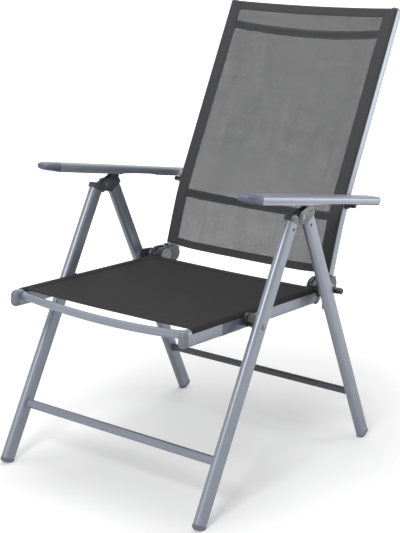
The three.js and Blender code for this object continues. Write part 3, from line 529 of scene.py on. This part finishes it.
def addCrossBar(name, leg, look):
    # the cross bar, flared where its ends are welded to the legs
    reach = legs["halfSpacing"] - legs["width"] / 2 - legs["gap"]
    upright = Matrix.Translation((0, *onLeg(leg, crossBar["along"])))
    upright = upright @ Matrix.Rotation(leg["angle"] - math.pi / 2, 4, "X")
    across = upright @ Matrix.Rotation(math.pi / 2, 4, "Y") @ Matrix.Rotation(math.pi / 2, 4, "Z")
    flare = 1 + 2 * crossBar["weld"] / crossBar["depth"]
    flareEnd, weldEnd = crossBar["weldEnds"]
    firstHalf = [(-1, flare), (flareEnd - 1, flare), (weldEnd - 1, 1.0)]
    places = [
        across @ Matrix.Translation((0, 0, reach * share)) @ Matrix.Diagonal((wide, wide, 1, 1))
        for share, wide in firstHalf + [(-share, wide) for share, wide in reversed(firstHalf)]
    ]
    bm = bmesh.new()
    sweep(bm, ovalRing(bm, crossBar["depth"], crossBar["height"]), places)
    finishPiece(f"{name}_cross_bar", bm, look, f"{name}_legs", f"{name}_crossbar")


rivetHead = {"edge": 0.25, "dome": 0.84, "steps": 6, "sides": 32}


def rivet(bm, x, y, z, radius, height, way=1):
    # a low domed head on a thin washer, its back at x
    edge = rivetHead["edge"]
    profile = [(x, 0.0), (x, radius), (x + way * height * edge, radius)]
    for turn in quarter(rivetHead["steps"]):
        rise = way * height * (edge + (1 - edge) * math.sin(turn))
        profile.append((x + rise, radius * rivetHead["dome"] * math.cos(turn)))
    turnedPiece(bm, y, z, profile, rivetHead["sides"])


legStop = {
    "along": 281 * mm,
    "across": -17.5 * mm,
    "radius": 3.2 * mm,
    "half": 4 * mm,
    "round": 1.2 * mm,
    "sides": 24,
}


def rearLegStop(bm):
    # a small rubber stop let into the rear edge of the leg
    y, z = onLeg(rearLeg, legStop["along"], legStop["across"])
    profile = [(-legStop["half"], 0.0), (-legStop["half"], legStop["radius"] - legStop["round"])]
    profile += [(-legStop["half"] + legStop["round"], legStop["radius"])]
    profile += [(-x, radius) for x, radius in reversed(profile)]
    turnedPiece(bm, y, z, [(legs["halfSpacing"] + x, radius) for x, radius in profile], legStop["sides"])


hingePin = {"radius": 7.5 * mm, "height": 1.9 * mm}


def legHingePin(bm):
    half = legs["width"] / 2 + legs["gap"]
    for way in (1, -1):
        x = legs["halfSpacing"] + way * half
        rivet(bm, x, hinge.y, hinge.z, hingePin["radius"], hingePin["height"], way)


headScrew = {"below": 14 * mm, "across": 4 * mm, "radius": 3.6 * mm, "height": 1.6 * mm}


def legScrew(leg):
    # one pan-head screw holds each head in its tube
    def build(bm):
        along = leg["hingeAlong"] - legs["endDrop"] - headScrew["below"]
        outer = legs["halfSpacing"] + legs["width"] / 2
        rivet(bm, outer, *onLeg(leg, along, headScrew["across"]), headScrew["radius"], headScrew["height"])
    return build


legCap = {
    "height": 8 * mm,
    "shoulder": 2.4 * mm,
    "steps": 7,
    "proud": 0.4 * mm,
    "fullness": (0.5, 0.35),
    # past the tube's end, then the share of the section
    "collar": ((-4 * mm, 0.84), (0.2 * mm, 0.84), (0.3 * mm, 1.0), (2.4 * mm, 1.0)),
}


def frontLegCap(bm):
    # a domed cap closes the top of the front leg beside the hinge
    top = frontLeg["hingeAlong"] - legs["endDrop"]
    places = [legStation(frontLeg, top + along, (share, share)) for along, share in legCap["collar"]]
    for turn in quarter(legCap["steps"])[1:-1]:
        along = legCap["shoulder"] + (legCap["height"] - legCap["shoulder"]) * math.sin(turn)
        scale = [math.cos(turn) ** power for power in legCap["fullness"]]
        places.append(legStation(frontLeg, top + along, scale))
    sweep(bm, ovalRing(bm, legs["width"], legs["depth"], legCap["proud"]), places)


addPair("front_leg_cap", frontLegCap, "headPlastic", "front_legs")
# the rear cross bar takes the darker copy of the paint: painted shade for the shade under the seat
for name, leg, barLook in (("front", frontLeg, "frame"), ("rear", rearLeg, "shadedFrame")):
    body = f"{name}_legs"
    addPair(f"{name}_leg_tube", legTube(leg), "frame", body, f"{name}_leg")
    addPair(f"{name}_foot_shoe", legFoot(leg), "greyPlastic", body, f"{name}_foot")
    addPair(f"{name}_head_screw", legScrew(leg), "blackPlastic", body)
    addCrossBar(name, leg, barLook)
    dressPair(f"{name}_head_moulding", f"{name}_hinge_head", "headPlastic", body)
addPair("rear_leg_stop", rearLegStop, "blackPlastic", "rear_legs")
addPair("leg_hinge_rivet", legHingePin, "steel", "front_legs", "leg_hinge_pin")
print("legs made")

# Rear pivot

pivotDisc = {
    "radius": 19 * mm,
    "straight": 0.35,
    "round": 4.5 * mm,
    "roundSteps": 8,
    "recess": 0.7 * mm,
    "rim": 6.5 * mm,
    "boss": 6 * mm,
    "bossTip": 5 * mm,
    "sides": 64,
}


def pivotCap(bm):
    # a round cover: straight sides for a share of its thickness, then a round edge and a sunk face
    low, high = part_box("rear_pivot_cap_left")
    radius = pivotDisc["radius"]
    profile = [(high.x, 0.0), (high.x, radius)]
    for turn in quarter(pivotDisc["roundSteps"]):
        share = pivotDisc["straight"] + (1 - pivotDisc["straight"]) * math.sin(turn)
        draw = pivotDisc["round"] * (1 - math.cos(turn))
        profile.append((high.x - (high.x - low.x) * share, radius - draw))
    floor = low.x + pivotDisc["recess"]
    profile += [(floor, radius - pivotDisc["rim"]), (floor, pivotDisc["boss"])]
    profile += [(low.x, pivotDisc["bossTip"]), (low.x, 0.0)]
    turnedPiece(bm, pivot.y, pivot.z, profile, pivotDisc["sides"])


pivotBolt = {
    "radius": 6 * mm,
    "sleeve": 7.3 * mm,
    # back from the end, then in from the sleeve's face
    "edge": ((1.6 * mm, 0.0), (0.5 * mm, 0.5 * mm), (0.0, 1.8 * mm)),
    "socketRim": 3.2 * mm,
    "socket": 2.6 * mm,
    "socketDepth": 1.5 * mm,
}


def pivotPin(bm):
    low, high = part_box("rear_pivot_pin_left")
    legFace = legs["halfSpacing"] - legs["width"] / 2 + legs["gap"]
    pin, sleeve = pivotBolt["radius"], pivotBolt["sleeve"]
    profile = [(low.x, 0.0), (low.x, pin), (legFace, pin), (legFace, sleeve)]
    profile += [(high.x - back, sleeve - inwards) for back, inwards in pivotBolt["edge"]]
    bottom = high.x - pivotBolt["socketDepth"]
    profile += [(high.x, pivotBolt["socketRim"]), (bottom, pivotBolt["socket"]), (bottom, 0.0)]
    turnedPiece(bm, pivot.y, pivot.z, profile)


addPair("rear_pivot_disc", pivotCap, "greyPlastic", "rear_legs", "rear_pivot_cap")
addPair("rear_pivot_bolt", pivotPin, "blackPlastic", "rear_legs", "rear_pivot_pin")
dressPair("rear_pivot_lug", "rear_pivot_bracket", "steel", "rear_legs")
print("rear pivots made")

# Seat

seat = {
    "tubeX": 236 * mm,
    "tubeHeight": 38 * mm,
    "tubeWidth": 20 * mm,
    "length": 491 * mm,
    "rearAhead": 24 * mm,
    "rearBelow": 16.5 * mm,
    "rise": math.radians(1.46),
    "barRadius": 9 * mm,
}
seatAngle = math.pi - seat["rise"]
seatRear = (pivot.y - seat["rearAhead"], pivot.z - seat["rearBelow"])


def onSeat(along, above=0.0):
    return (
        seatRear[0] + along * math.cos(seatAngle) + above * math.sin(seatAngle),
        seatRear[1] + along * math.sin(seatAngle) - above * math.cos(seatAngle),
    )


def seatStation(along, scale=fullSize):
    return station(seat["tubeX"], *onSeat(along), seatAngle, scale)


def seatTube(bm):
    places = [seatStation(0.0), seatStation(seat["length"])]
    sweep(bm, ovalRing(bm, seat["tubeWidth"], seat["tubeHeight"]), places)


seatCap = {
    "length": 15 * mm,
    "shoulder": 2.5 * mm,
    "draw": (0.8, 0.62),
    "steps": 9,
    "collar": ((-3 * mm, (0.8, 0.9)), (0.3 * mm, (0.97, 0.985)), (0.9 * mm, fullSize)),
}


def seatNose(bm):
    # bull-nosed plug with a collar that lies against the tube
    cappedEnd(
        bm, seatCap, lambda along, scale: seatStation(seat["length"] + along, scale),
        seat["tubeWidth"], seat["tubeHeight"],
    )


railSleeve = {
    "start": 300 * mm,
    "end": 372 * mm,
    "proud": 0.5 * mm,
    "edge": 0.8 * mm,
    "edgeScale": (0.97, 0.98),
}


def seatSleeve(bm):
    # a thin blue-grey band round the side rail, 0.5 mm proud, ahead of the hook
    start, end, edge = railSleeve["start"], railSleeve["end"], railSleeve["edge"]
    places = [seatStation(start, railSleeve["edgeScale"]), seatStation(start + edge)]
    places += [seatStation(end - edge), seatStation(end, railSleeve["edgeScale"])]
    sweep(bm, ovalRing(bm, seat["tubeWidth"], seat["tubeHeight"], railSleeve["proud"]), places)


supportBolt = {"washer": 6.5 * mm, "height": 3.2 * mm}


def supportBoltHead(bm):
    # the domed head that shows on the outer face of the front leg
    low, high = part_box("seat_support_pin_left")
    outer = legs["halfSpacing"] + legs["width"] / 2
    middle = (low + high) / 2
    rivet(bm, outer, middle.y, middle.z, supportBolt["washer"], supportBolt["height"])


hoop = {"steps": 40, "sides": 28, "flare": 1.16}


def addHoop(name, body, replaced, base, way, bow, reach, radius):
    # a round bar along X that bows in the middle, with flared welds at its ends
    places = []
    for step in range(hoop["steps"] + 1):
        share = 2 * step / hoop["steps"] - 1
        middle = Vector((reach * share, *base)) + way * (bow * (1 - share ** 2))
        slope = Vector((reach, 0, 0)) - way * (2 * bow * share)
        turned = slope.to_track_quat("Z", "Y").to_matrix().to_4x4()
        wide = hoop["flare"] if step in (0, hoop["steps"]) else 1.0
        places.append(Matrix.Translation(middle) @ turned @ Matrix.Diagonal((wide, wide, 1, 1)))
    bm = bmesh.new()
    ring = bmesh.ops.create_circle(bm, segments=hoop["sides"], radius=radius, cap_ends=False)["verts"]
    sweep(bm, ring, places)
    finishPiece(name, bm, "frame", body, replaced)


seatBars = (
    # name, solid, along and above the side tubes, sag
    ("seat_front_hoop", "seat_front_bar", 477 * mm, 4 * mm, 12 * mm),
    ("seat_rear_hoop", "seat_rear_bar", 40 * mm, -6 * mm, 0.0),
)

addPair("support_bolt_head", supportBoltHead, "steel", "front_legs")
addPair("seat_rail_sleeve", seatSleeve, "bluePlastic", "seat")
addPair("seat_side_rail", seatTube, "frame", "seat", "seat_side_tube")
addPair("seat_nose_plug", seatNose, "greyPlastic", "seat", "seat_front_cap")
dressPair("seat_hinge_moulding", "seat_hinge_housing", "darkPlastic", "seat")
dressPair("seat_hook_steel", "seat_hook_plate", "darkPlastic", "seat")
dressPair("seat_support_peg", "seat_support_pin", "darkPlastic", "front_legs", 0.8 * mm)
seatReach = seat["tubeX"] - seat["tubeWidth"] / 2 - legs["gap"]
for name, solid, along, above, sag in seatBars:
    addHoop(name, "seat", solid, onSeat(along, above), Vector((0, 0, -1)), sag, seatReach, seat["barRadius"])
print("seat frame made")

# Back

back = {
    "tubeX": 234.5 * mm,
    "tubeDepth": 32 * mm,
    "tubeWidth": 18 * mm,
    "lowAngle": math.radians(73),
    "highAngle": math.radians(64.5),
    "startBehind": 36.5 * mm,
    "startBelow": 11 * mm,
    "lowLength": 120 * mm,
    "bend": 120 * mm,
    "highLength": 452 * mm,
    "lowSteps": 10,
    "bendSteps": 12,
    "highSteps": 30,
    "tubeSteps": 60,
    "barRadius": 10.5 * mm,
    "barBow": 37.4 * mm,
    "upperBarInset": 58 * mm,
    "lowerBarAlong": 170 * mm,
}


def backLine():
    # points along a side tube: straight, a gentle bend, straight
    low = Vector((math.cos(back["lowAngle"]), math.sin(back["lowAngle"])))
    high = Vector((math.cos(back["highAngle"]), math.sin(back["highAngle"])))
    start = Vector((pivot.y + back["startBehind"], pivot.z - back["startBelow"]))
    knee = start + low * back["lowLength"]
    corner = knee + low * (back["bend"] / 2)
    after = corner + high * (back["bend"] / 2)
    steps = back["lowSteps"]
    points = [start + low * (back["lowLength"] * i / steps) for i in range(steps)]
    for i in range(back["bendSteps"]):
        share = i / back["bendSteps"]
        points.append(knee * (1 - share) ** 2 + corner * (2 * share * (1 - share)) + after * share ** 2)
    steps = back["highSteps"]
    points += [after + high * (back["highLength"] * i / steps) for i in range(steps + 1)]
    return points


backPoints = backLine()
backRuns = [0.0]
for before, after in zip(backPoints, backPoints[1:]):
    backRuns.append(backRuns[-1] + (after - before).length)
backLength = backRuns[-1]


def backPoint(along):
    # place and direction on a side tube's line, at a distance from its lower end
    i = 0
    while i < len(backRuns) - 2 and backRuns[i + 1] < along:
        i += 1
    share = (along - backRuns[i]) / (backRuns[i + 1] - backRuns[i])
    point = backPoints[i].lerp(backPoints[i + 1], share)
    ahead = backPoints[min(i + 2, len(backPoints) - 1)] - backPoints[max(i - 1, 0)]
    return point, math.atan2(ahead.y, ahead.x)


def backStation(along, rise=0.0, scale=fullSize):
    # the rise goes straight on past the tube's end
    point, angle = backPoint(along)
    spot = point + Vector((math.cos(angle), math.sin(angle))) * rise
    return station(back["tubeX"], *spot, angle, scale)


def backTube(bm):
    steps = back["tubeSteps"]
    places = [backStation(backLength * i / steps) for i in range(steps + 1)]
    sweep(bm, ovalRing(bm, back["tubeWidth"], back["tubeDepth"]), places)


backPlug = {
    "length": 5 * mm,
    "shoulder": 2.2 * mm,
    "draw": (0.7, 0.4),
    "steps": 5,
    "collar": ((-2 * mm, (0.8, 0.9)), (0.3 * mm, (0.96, 0.98)), (0.9 * mm, fullSize)),
}


def backCap(bm):
    cappedEnd(
        bm, backPlug, lambda rise, scale: backStation(backLength, rise, scale),
        back["tubeWidth"], back["tubeDepth"],
    )


def addBackHoop(name, replaced, along):
    point, angle = backPoint(along)
    rearwards = Vector((0, math.sin(angle), -math.cos(angle)))
    reach = back["tubeX"] - back["tubeWidth"] / 2 - legs["gap"]
    addHoop(name, "back", replaced, point, rearwards, back["barBow"], reach, back["barRadius"])


addPair("back_side_rail", backTube, "frame", "back", "back_side_tube")
addPair("back_end_plug", backCap, "greyPlastic", "back", "back_top_cap")
dressPair("back_hinge_moulding", "back_hinge_knuckle", "darkPlastic", "back")
dressPair("back_pivot_sleeve", "back_pivot_bush", "blackPlastic", "back", 0.4 * mm)
addBackHoop("back_upper_hoop", "back_upper_bar", backLength - back["upperBarInset"])
addBackHoop("back_lower_hoop", "back_lower_bar", back["lowerBarAlong"])
print("back frame made")

# Armrests

arm = {
    "slope": math.radians(-8.7),
    "front": 257 * mm,
    "rear": 281 * mm,
    "width": 46 * mm,
    "height": 20 * mm,
    "below": 5 * mm,
    "wall": 3 * mm,
    "corner": 8 * mm,
    "cornerSteps": 9,
    # the groove along its side: heights and depths
    "groove": ((0.06 * mm, 0.0), (0.94 * mm, 0.8 * mm), (2.06 * mm, 0.8 * mm), (2.94 * mm, 0.0)),
    # the side walls' lower edge rises behind the hinge
    "edgeBand": 1.5 * mm,
    "rearRise": 3.2 * mm,
    "riseFrom": -40 * mm,
    "riseTo": 50 * mm,
    "sections": 24,
    "pinRadius": 4 * mm,
    "pinInset": 1 * mm,
    "pinSides": 32,
}
armAlong = Vector((0, math.cos(arm["slope"]), math.sin(arm["slope"])))
armUp = Vector((0, -math.sin(arm["slope"]), math.cos(arm["slope"])))


def armStation(along, above=0.0, scale=fullSize):
    spot = armPivot + armAlong * along + armUp * above
    return station(legs["halfSpacing"], spot.y, spot.z, arm["slope"], scale)


def armOutline(inset=0.0, grooved=False):
    # half of the section, from the lower edge up round the shoulder
    half = arm["width"] / 2 - inset
    top = arm["height"] - arm["below"] - inset
    corner = arm["corner"] - inset
    points = [(half, -arm["below"])]
    if grooved:
        points += [(half - deep, rise) for rise, deep in arm["groove"]]
    for turn in quarter(arm["cornerSteps"]):
        points.append((half - corner + corner * math.cos(turn), top - corner + corner * math.sin(turn)))
    return points


def outlineVerts(bm, outline):
    verts = [bm.verts.new((x, -y, 0.0)) for x, y in outline]
    for i, vert in enumerate(verts):
        bm.edges.new((verts[i - 1], vert))
    return verts


def bothHalves(half):
    return half + [(-x, y) for x, y in reversed(half)]


def clamped(share):
    return max(0.0, min(1.0, share))


plug = {
    "nose": 34 * mm,
    "noseTip": 12 * mm,
    "noseFullness": (0.64, 0.54),
    "tail": 2 * mm,
    "tailTip": 10 * mm,
    "tailFullness": (0.5, 0.6),
    "steps": 16,
    "sideSteps": 6,
    "seam": 1.2 * mm,
    # past the channel's end, then the share of the section
    "collar": ((-4 * mm, (0.8, 0.6)), (0.3 * mm, (0.97, 0.94)), (1.2 * mm, fullSize)),
    # how round the underside grows, and over what share of the length
    "underRound": 0.8,
    "roundOver": 0.5,
    "leastHeight": 0.02,
}
channelStart = plug["nose"] - arm["front"]
channelEnd = arm["rear"] - plug["tail"]


def armChannel(bm):
    # an upside-down channel, drawn along the arm section by section
    outer = bothHalves(armOutline(grooved=True))
    inner = bothHalves(armOutline(arm["wall"]))
    ring = outlineVerts(bm, outer + list(reversed(inner)))
    count = arm["sections"]
    places = [armStation(channelStart + (channelEnd - channelStart) * i / count) for i in range(count + 1)]
    sweep(bm, ring, places)
    for vert in bm.verts:
        place = vert.co - armPivot
        if place.dot(armUp) < arm["edgeBand"] - arm["below"]:
            share = clamped((place.dot(armAlong) - arm["riseFrom"]) / (arm["riseTo"] - arm["riseFrom"]))
            vert.co += armUp * (arm["rearRise"] * share * share * (3 - 2 * share))


def plugOutline(middle):
    # half of the section, with points up its side so that the lower corner can round off
    outline = armOutline()
    half, low = outline[0]
    rise = outline[1][1] - low
    side = [(half, low + rise * i / plug["sideSteps"]) for i in range(plug["sideSteps"])]
    return [(x, y - middle) for x, y in side + outline[1:]]


def armPlug(start, reach, way, fullness):
    # a bullet end: the section draws in over its length, and its underside grows round
    def build(bm):
        middle = arm["height"] / 2 - arm["below"]
        ring = outlineVerts(bm, bothHalves(plugOutline(middle)))
        places = [armStation(start + way * along, middle, scale) for along, scale in plug["collar"]]
        for turn in quarter(plug["steps"])[1:-1]:
            along = start + way * (plug["seam"] + (reach - plug["seam"]) * math.sin(turn))
            places.append(armStation(along, middle, [math.cos(turn) ** power for power in fullness]))
        sweep(bm, ring, places)
        for vert in bm.verts:
            place = vert.co - armPivot
            share = (place.dot(armAlong) - start) * way / reach
            if share <= 0:
                continue
            halfHeight = arm["height"] / 2 * max(plug["leastHeight"], 1 - share * share) ** (fullness[1] / 2)
            low = clamped((middle - place.dot(armUp)) / halfHeight)
            grown = min(1.0, share / plug["roundOver"]) * plug["underRound"]
            across = vert.co.x - legs["halfSpacing"]
            vert.co.x = legs["halfSpacing"] + across * (1 - grown * (1 - math.sqrt(1 - low * low)))
    return build


def armPin(bm):
    half = arm["width"] / 2 - arm["pinInset"]
    profile = [(-half, 0.0), (-half, arm["pinRadius"]), (half, arm["pinRadius"]), (half, 0.0)]
    profile = [(legs["halfSpacing"] + x, radius) for x, radius in profile]
    turnedPiece(bm, armPivot.y, armPivot.z, profile, arm["pinSides"])


armBody = "armrest_SIDE_arm"
nosePlug = armPlug(channelStart, plug["nose"] + plug["noseTip"], -1, plug["noseFullness"])
tailPlug = armPlug(channelEnd, plug["tail"] + plug["tailTip"], 1, plug["tailFullness"])
addPair("armrest_channel", armChannel, "frame", armBody, "armrest")
addPair("armrest_front_plug", nosePlug, "bluePlastic", armBody, "armrest_front_cap")
addPair("armrest_rear_plug", tailPlug, "greyPlastic", armBody, "armrest_rear_cap")
dressPair("armrest_notched_rack", "armrest_rack", "blackPlastic", armBody, 0.5 * mm)
addPair("armrest_rivet", armPin, "steel", armBody, "armrest_pin")
dressPair("armrest_spacer", "armrest_bush", "blackPlastic", "rear_legs", 0.4 * mm)
dressPair("armrest_catch_peg", "armrest_catch", "blackPlastic", "back")
print("armrests made")

# Slings

seatSling = {
    "thickness": 0.8 * mm,
    "sag": 9 * mm,
    "frontInset": 14 * mm,
    "frontScoop": 18 * mm,
    "rearInset": 3 * mm,
    "rearReach": 24 * mm,
    "wrap": math.radians(82),
    "columns": 96,
    "rows": 90,
    "band": 30 * mm,
    "hem": 24 * mm,
    "topHem": 24 * mm,
    "wrinkle": 0.6 * mm,
    "ripples": (7, 15, 3.0),
}
backSling = {
    "thickness": 0.3 * mm,
    "sag": 12 * mm,
    "low": 37 * mm,
    "lowReach": 8 * mm,
    "lowCurve": 6,
    "wrap": math.radians(60),
    "columns": 96,
    "rows": 130,
    "band": 33 * mm,
    "hem": 19 * mm,
    "topHem": 23 * mm,
    "wrinkle": 0.5 * mm,
    "ripples": (8, 7, 11.0),
}
trim = {"thickness": 0.6 * mm, "bandColumns": 16, "hemRows": 8}
stitch = {
    "pitch": 4.2 * mm,
    "length": 2.9 * mm,
    "radius": 0.32 * mm,
    "sides": 6,
    "rings": 4,
    "rowGap": 5 * mm,
    "edge": 2.5 * mm,
    "rows": 2,
    "endShare": 0.003,
    "measureSteps": 60,
}


def acrossCloth(share, sling, tubeX, tubeWidth, lift):
    # sideways place and height over the tubes' axes, for a share from -1 to 1 of the cloth's width
    side = 1 if share >= 0 else -1
    size = abs(share)
    radius = tubeWidth / 2 + sling["thickness"] / 2
    arc = radius * sling["wrap"]
    flatShare = tubeX / (tubeX + arc)
    if size <= flatShare:
        place = size / flatShare
        hang = 1 - place ** 2
        return side * tubeX * place, radius + lift - sling["sag"] * hang, hang
    turn = (size - flatShare) / (1 - flatShare) * sling["wrap"]
    return side * (tubeX + (radius + lift) * math.sin(turn)), (radius + lift) * math.cos(turn), 0.0


def ripple(sling, x, along, hang):
    # slow unevenness between the tubes
    wide, tall, seed = sling["ripples"]
    return noise.noise(Vector((x * wide, along * tall, seed))) * sling["wrinkle"] * hang


def seatClothPoint(share, v, lift=0.0):
    x, above, hang = acrossCloth(share, seatSling, seat["tubeX"], seat["tubeWidth"], lift)
    flank = (seat["tubeHeight"] - seat["tubeWidth"]) / 2
    front = seat["length"] - seatSling["frontInset"] - seatSling["frontScoop"] * hang
    rear = seatSling["rearInset"] - seatSling["rearReach"] * hang
    along = front + (rear - front) * v
    return Vector((x, *onSeat(along, flank + above + ripple(seatSling, x, along, hang))))


def backClothPoint(share, v, lift=0.0):
    x, above, hang = acrossCloth(share, backSling, back["tubeX"], back["tubeWidth"], lift)
    flank = (back["tubeDepth"] - back["tubeWidth"]) / 2
    inside = 1 - min(1.0, abs(x) / back["tubeX"]) ** backSling["lowCurve"]
    low = backSling["low"] - backSling["lowReach"] * inside
    point, angle = backPoint(low + (backLength - low) * v)
    forward = Vector((-math.sin(angle), math.cos(angle)))
    return Vector((x, *(point + forward * (flank + above + ripple(backSling, x, v, hang)))))


def runLength(points):
    return sum((b - a).length for a, b in zip(points, points[1:]))


measure = {"steps": 100, "columns": (-0.9, -0.5, 0.0, 0.5, 0.9)}


def clothSize(point):
    # the flat width across the middle and the mean length, as the cloth is cut
    steps = measure["steps"]
    width = runLength([point(i / steps - 1, 0.5) for i in range(2 * steps + 1)])
    talls = [runLength([point(share, i / steps) for i in range(steps + 1)]) for share in measure["columns"]]
    return width, sum(talls) / len(talls)


def between(ends, share):
    return ends[0] + (ends[1] - ends[0]) * share


def clothPatch(name, part, shares, rows, look, lift, thickness, grid, replaced=None):
    # a grid laid on a sling's surface, between two shares across and two along
    bm = bmesh.new()
    bmesh.ops.create_grid(bm, x_segments=grid[0], y_segments=grid[1], size=0.5)
    layer = bm.loops.layers.uv.new("clothMetres")
    for vert in bm.verts:
        share = between(shares, vert.co.x + 0.5)
        v = between(rows, vert.co.y + 0.5)
        for loop in vert.link_loops:
            loop[layer].uv = ((share + 1) / 2 * part["size"][0], v * part["size"][1])
        vert.co = part["point"](share, v, lift)
    return finishPiece(name, bm, look, part["body"], replaced, 60, thickness)


def stitchMesh():
    bm = bmesh.new()
    bmesh.ops.create_uvsphere(
        bm, u_segments=stitch["sides"], v_segments=stitch["rings"], radius=1.0,
        matrix=Matrix.Diagonal((stitch["radius"], stitch["radius"], stitch["length"] / 2, 1)),
    )
    mesh = bpy.data.meshes.new("oneStitch")
    bm.to_mesh(mesh)
    bm.free()
    return mesh


oneStitch = stitchMesh()


def stitchRow(bm, part, shares, rows, lift):
    # short round stitches along a straight line on the cloth
    def spot(along):
        return part["point"](between(shares, along), between(rows, along), lift)
    steps = stitch["measureSteps"]
    count = round(runLength([spot(i / steps) for i in range(steps + 1)]) / stitch["pitch"])
    for i in range(count):
        way = spot((i + 0.6) / count) - spot((i + 0.4) / count)
        place = Matrix.Translation(spot((i + 0.5) / count)) @ way.to_track_quat("Z", "Y").to_matrix().to_4x4()
        oneStitch.transform(place)
        bm.from_mesh(oneStitch)
        oneStitch.transform(place.inverted())


def makeSling(body, point, sling, look, bandLook, node):
    part = {"body": body, "point": point, "size": clothSize(point)}
    width, tall = part["size"]
    inner = 1 - 2 * sling["band"] / width
    hemShare = sling["hem"] / tall
    topShare = sling["topHem"] / tall
    lift = sling["thickness"] / 2 + trim["thickness"] / 2
    grid = (sling["columns"], sling["rows"])
    mesh = clothPatch(f"{body}_mesh", part, (-1, 1), (0, 1), look, 0.0, sling["thickness"], grid, node)
    for sideName, side in bothSides:
        name = f"{body}_side_band_{sideName}"
        shares = (inner, 1.0) if side > 0 else (-1.0, -inner)
        grid = (trim["bandColumns"], sling["rows"])
        clothPatch(name, part, shares, (0, 1), bandLook, lift, trim["thickness"], grid)
    for hemName, rows in (("lower", (0, hemShare)), ("upper", (1 - topShare, 1))):
        name = f"{body}_{hemName}_hem"
        grid = (sling["columns"], trim["hemRows"])
        clothPatch(name, part, (-inner, inner), rows, bandLook, lift, trim["thickness"], grid)
    bm = bmesh.new()
    top = lift + trim["thickness"] / 2 + stitch["radius"] / 2
    for i in range(stitch["rows"]):
        inset = stitch["edge"] + stitch["rowGap"] * i
        for side in (1, -1):
            share = side * (inner + 2 * inset / width)
            stitchRow(bm, part, (share, share), (stitch["endShare"], 1 - stitch["endShare"]), top)
        for v in (hemShare - inset / tall, 1 - topShare + inset / tall):
            stitchRow(bm, part, (-inner, inner), (v, v), top)
    finishPiece(f"{body}_stitching", bm, "thread", body)
    print(f"{body} sling {width:.3f} by {tall:.3f} m")


makeSling("seat", seatClothPoint, seatSling, "seatMesh", "seatMesh", "seat_sling")
makeSling("back", backClothPoint, backSling, "openMesh", "closeMesh", "back_sling")
bpy.data.meshes.remove(oneStitch)

# Floor, light and camera

view = {
    "azimuth": math.radians(36.45),
    "elevation": math.radians(14.375),
    "roll": math.radians(1.2),
    "place": Vector((1.7013, -2.2810, 1.1842)),
    "lens": 85.04,
    "sensor": 36.0,
}


def addCamera():
    backwards = Vector((
        math.sin(view["azimuth"]) * math.cos(view["elevation"]),
        -math.cos(view["azimuth"]) * math.cos(view["elevation"]),
        math.sin(view["elevation"]),
    ))
    across = Vector((0, 0, 1)).cross(backwards).normalized()
    up = backwards.cross(across)
    c, s = math.cos(view["roll"]), math.sin(view["roll"])
    turned = Matrix((across * c + up * s, up * c - across * s, backwards)).transposed().to_4x4()
    data = bpy.data.cameras.new("camera")
    data.lens = view["lens"]
    data.sensor_width = view["sensor"]
    data.sensor_fit = "AUTO"
    camera = bpy.data.objects.new("camera", data)
    camera.matrix_world = Matrix.Translation(view["place"] + Vector((0, yShift, 0))) @ turned
    bpy.context.scene.collection.objects.link(camera)
    bpy.context.scene.camera = camera


studio = {
    "floor": 30.0,
    "floorColour": (0.8, 0.8, 0.8, 1.0),
    "nearGlow": 0.3,
    "glowFrom": 0.7,
    "glowTo": 2.2,
    "worldForObject": 0.3,
}


def addFloor():
    # a pale floor whose own glow lets the shadow show near the chair and turns white further off
    bm = bmesh.new()
    bmesh.ops.create_grid(bm, x_segments=1, y_segments=1, size=studio["floor"])
    mesh = bpy.data.meshes.new("floor")
    bm.to_mesh(mesh)
    bm.free()
    floor = bpy.data.objects.new("floor", mesh)
    bpy.context.scene.collection.objects.link(floor)
    fixed = {"Base Color": studio["floorColour"], "Roughness": 0.9, "Emission Strength": 1.0}
    finish = Finish("paleFloor", fixed)
    far = finish.node("VectorMath", {"operation": "LENGTH"}, [finish.place()], output="Value")
    glow = (far - studio["glowFrom"]) / (studio["glowTo"] - studio["glowFrom"])
    glow = glow.maths("MAXIMUM", 0.0).maths("MINIMUM", 1.0) * (1 - studio["nearGlow"]) + studio["nearGlow"]
    finish.feed("Emission Color", finish.blend(glow * finish.seen(), (0, 0, 0, 1), (1, 1, 1, 1)))
    mesh.materials.append(finish.material)


lights = (
    # name, place, size, power, aims at
    ("keyLight", (0.9, -2.8, 2.6), 1.0, 60, (0, 0, 0.6)),
    ("sideLight", (1.5, 1.9, 0.8), 0.8, 11, (0.25, 0.25, 0.8)),
    ("topLight", (-0.3, 0.2, 3.2), 1.6, 47, (0, 0, 0.5)),
)


def addLights():
    for name, place, size, power, aim in lights:
        data = bpy.data.lights.new(name, "AREA")
        data.shape = "SQUARE"
        data.size = size
        data.energy = power
        lamp = bpy.data.objects.new(name, data)
        turned = (Vector(place) - Vector(aim)).to_track_quat("Z", "Y").to_matrix().to_4x4()
        lamp.matrix_world = Matrix.Translation(place) @ turned
        bpy.context.scene.collection.objects.link(lamp)


def addWorld():
    # white where it is seen, dimmer where it lights the chair
    world = bpy.data.worlds.new("softWorld")
    world.use_nodes = True
    bpy.context.scene.world = world
    nodes = Nodes(world.node_tree)
    background = nodes.tree.nodes["Background"]
    background.inputs["Color"].default_value = (1.0, 1.0, 1.0, 1.0)
    strength = nodes.seen() * (1 - studio["worldForObject"]) + studio["worldForObject"]
    nodes.tree.links.new(strength.socket, background.inputs["Strength"])


addCamera()
addFloor()
addLights()
addWorld()
bpy.context.scene.view_settings.view_transform = "Standard"
